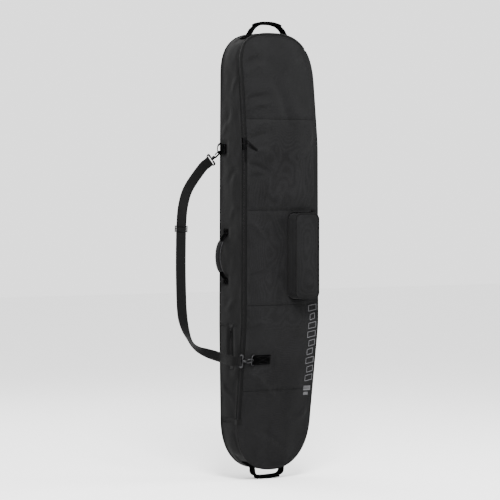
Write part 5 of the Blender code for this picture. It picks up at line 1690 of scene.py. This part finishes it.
def make_adjuster(place):
    """Three-bar glide with rounded rails."""
    half, rails, front, rear = 0.0200, 0.0045, (0.0014, 0.0040), (-0.0050, 0.0040)
    bar = half + 0.001
    blocks = {
        "rail_far": ((-0.0125, half, rear[0]), (0.0125, half + rails, rear[1])),
        "rail_near": ((-0.0125, -half - rails, rear[0]), (0.0125, -half, rear[1])),
        "bar_top": ((-0.011, -bar, front[0]), (-0.008, bar, front[1])),
        "bar_low": ((0.008, -bar, front[0]), (0.011, bar, front[1])),
        "bar_middle": ((-0.0015, -bar, rear[0]), (0.0015, bar, rear[0] + 0.0030)),
    }
    for name, (low, high) in blocks.items():
        piece = block("adjuster_" + name, low, high, place, BLACK_PLATING_AND_SHADE, 0.0010)
        put(piece, "adjuster", *(("strap_adjuster",) if name == "rail_far" else ()), slot="gunmetal")


# ---------------------------------------------------------------- printed mark: plain outlined bars
def outline_print(name, loop):
    """Closed printed line on the front cloth, following its folds."""
    points = []
    for k, (x, z) in enumerate(loop):
        xn, zn = loop[(k + 1) % len(loop)]
        steps = max(1, int(math.hypot(xn - x, zn - z) / 0.002))
        points += [Vector((x + (xn - x) * s / steps, 0.0, z + (zn - z) * s / steps)) for s in range(steps)]
    centre = sum(points, Vector()) / len(points)
    rings = []
    for point, tangent in zip(points, tangents(points, True)):
        side = tangent.cross(Vector((0, 1, 0)))
        if side.dot(point - centre) < 0:
            side = -side
        near, far = point - side * BAR_STROKE / 2, point + side * BAR_STROKE / 2
        rings.append([front_at(near.x, near.z, 0.0001), front_at(near.x, near.z, 0.0005),
                      front_at(far.x, far.z, 0.0005), front_at(far.x, far.z, 0.0001)])
    put(loft(name, rings, PRINT, closed=True, smooth_deg=60), "root", slot="outer_fabric")


def filled_print(name, low_x, high_x, low_z, high_z):
    """Solid printed bar on the front cloth."""
    rings = []
    for j in range(25):
        z = low_z + (high_z - low_z) * j / 24
        row = [low_x + (high_x - low_x) * i / 24 for i in range(25)]
        rings.append([front_at(x, z, 0.0005) for x in row] + [front_at(x, z, 0.0001) for x in reversed(row)])
    put(loft(name, rings, PRINT, smooth_deg=60), "root", slot="outer_fabric")


PRINT_X = (0.126, 0.162)
PRINT_Z = (-1.385, -1.075)
BAR_PITCH, BAR_HALF, BAR_TILT, BAR_STROKE = 0.034, 0.0105, 0.006, 0.0026
BAR_SHORTER = (0.0, 0.008, 0.003)


def make_print():
    """A ladder of outlined bars of mixed lengths, with two solid bars at its foot."""
    for n in range(int((PRINT_Z[1] - PRINT_Z[0]) / BAR_PITCH)):
        z = PRINT_Z[1] - BAR_PITCH * (n + 0.5)
        low = PRINT_X[0] + BAR_SHORTER[n % 3]
        high = PRINT_X[1] - (0.007 if n % 4 == 1 else 0.0)
        loop = [(low, z - BAR_HALF), (high, z - BAR_HALF + BAR_TILT), (high, z + BAR_HALF + BAR_TILT),
                (low, z + BAR_HALF)]
        outline_print(f"print_bar_{n}", loop)
    filled_print("print_solid_0", PRINT_X[0], PRINT_X[1] - 0.004, PRINT_Z[0] - 0.026, PRINT_Z[0] - 0.008)
    filled_print("print_solid_1", PRINT_X[0], PRINT_X[1] - 0.014, PRINT_Z[0] - 0.044, PRINT_Z[0] - 0.032)


make_stage()
make_shell()
make_zipper()
make_seams()
make_pocket_shell()
make_pocket_piping()
make_pocket_zipper()
make_pulls()
make_id_zipper()
make_id_pouch()
make_top_handle()
make_bottom_handle()
make_side_handle()
for prefix in ("upper", "lower"):
    make_ring(prefix, RING_PLACES[prefix])
    make_tab(prefix, *TABS[prefix])
    make_hook(prefix, HOOK_PLACES[prefix])
make_strap()
make_print()
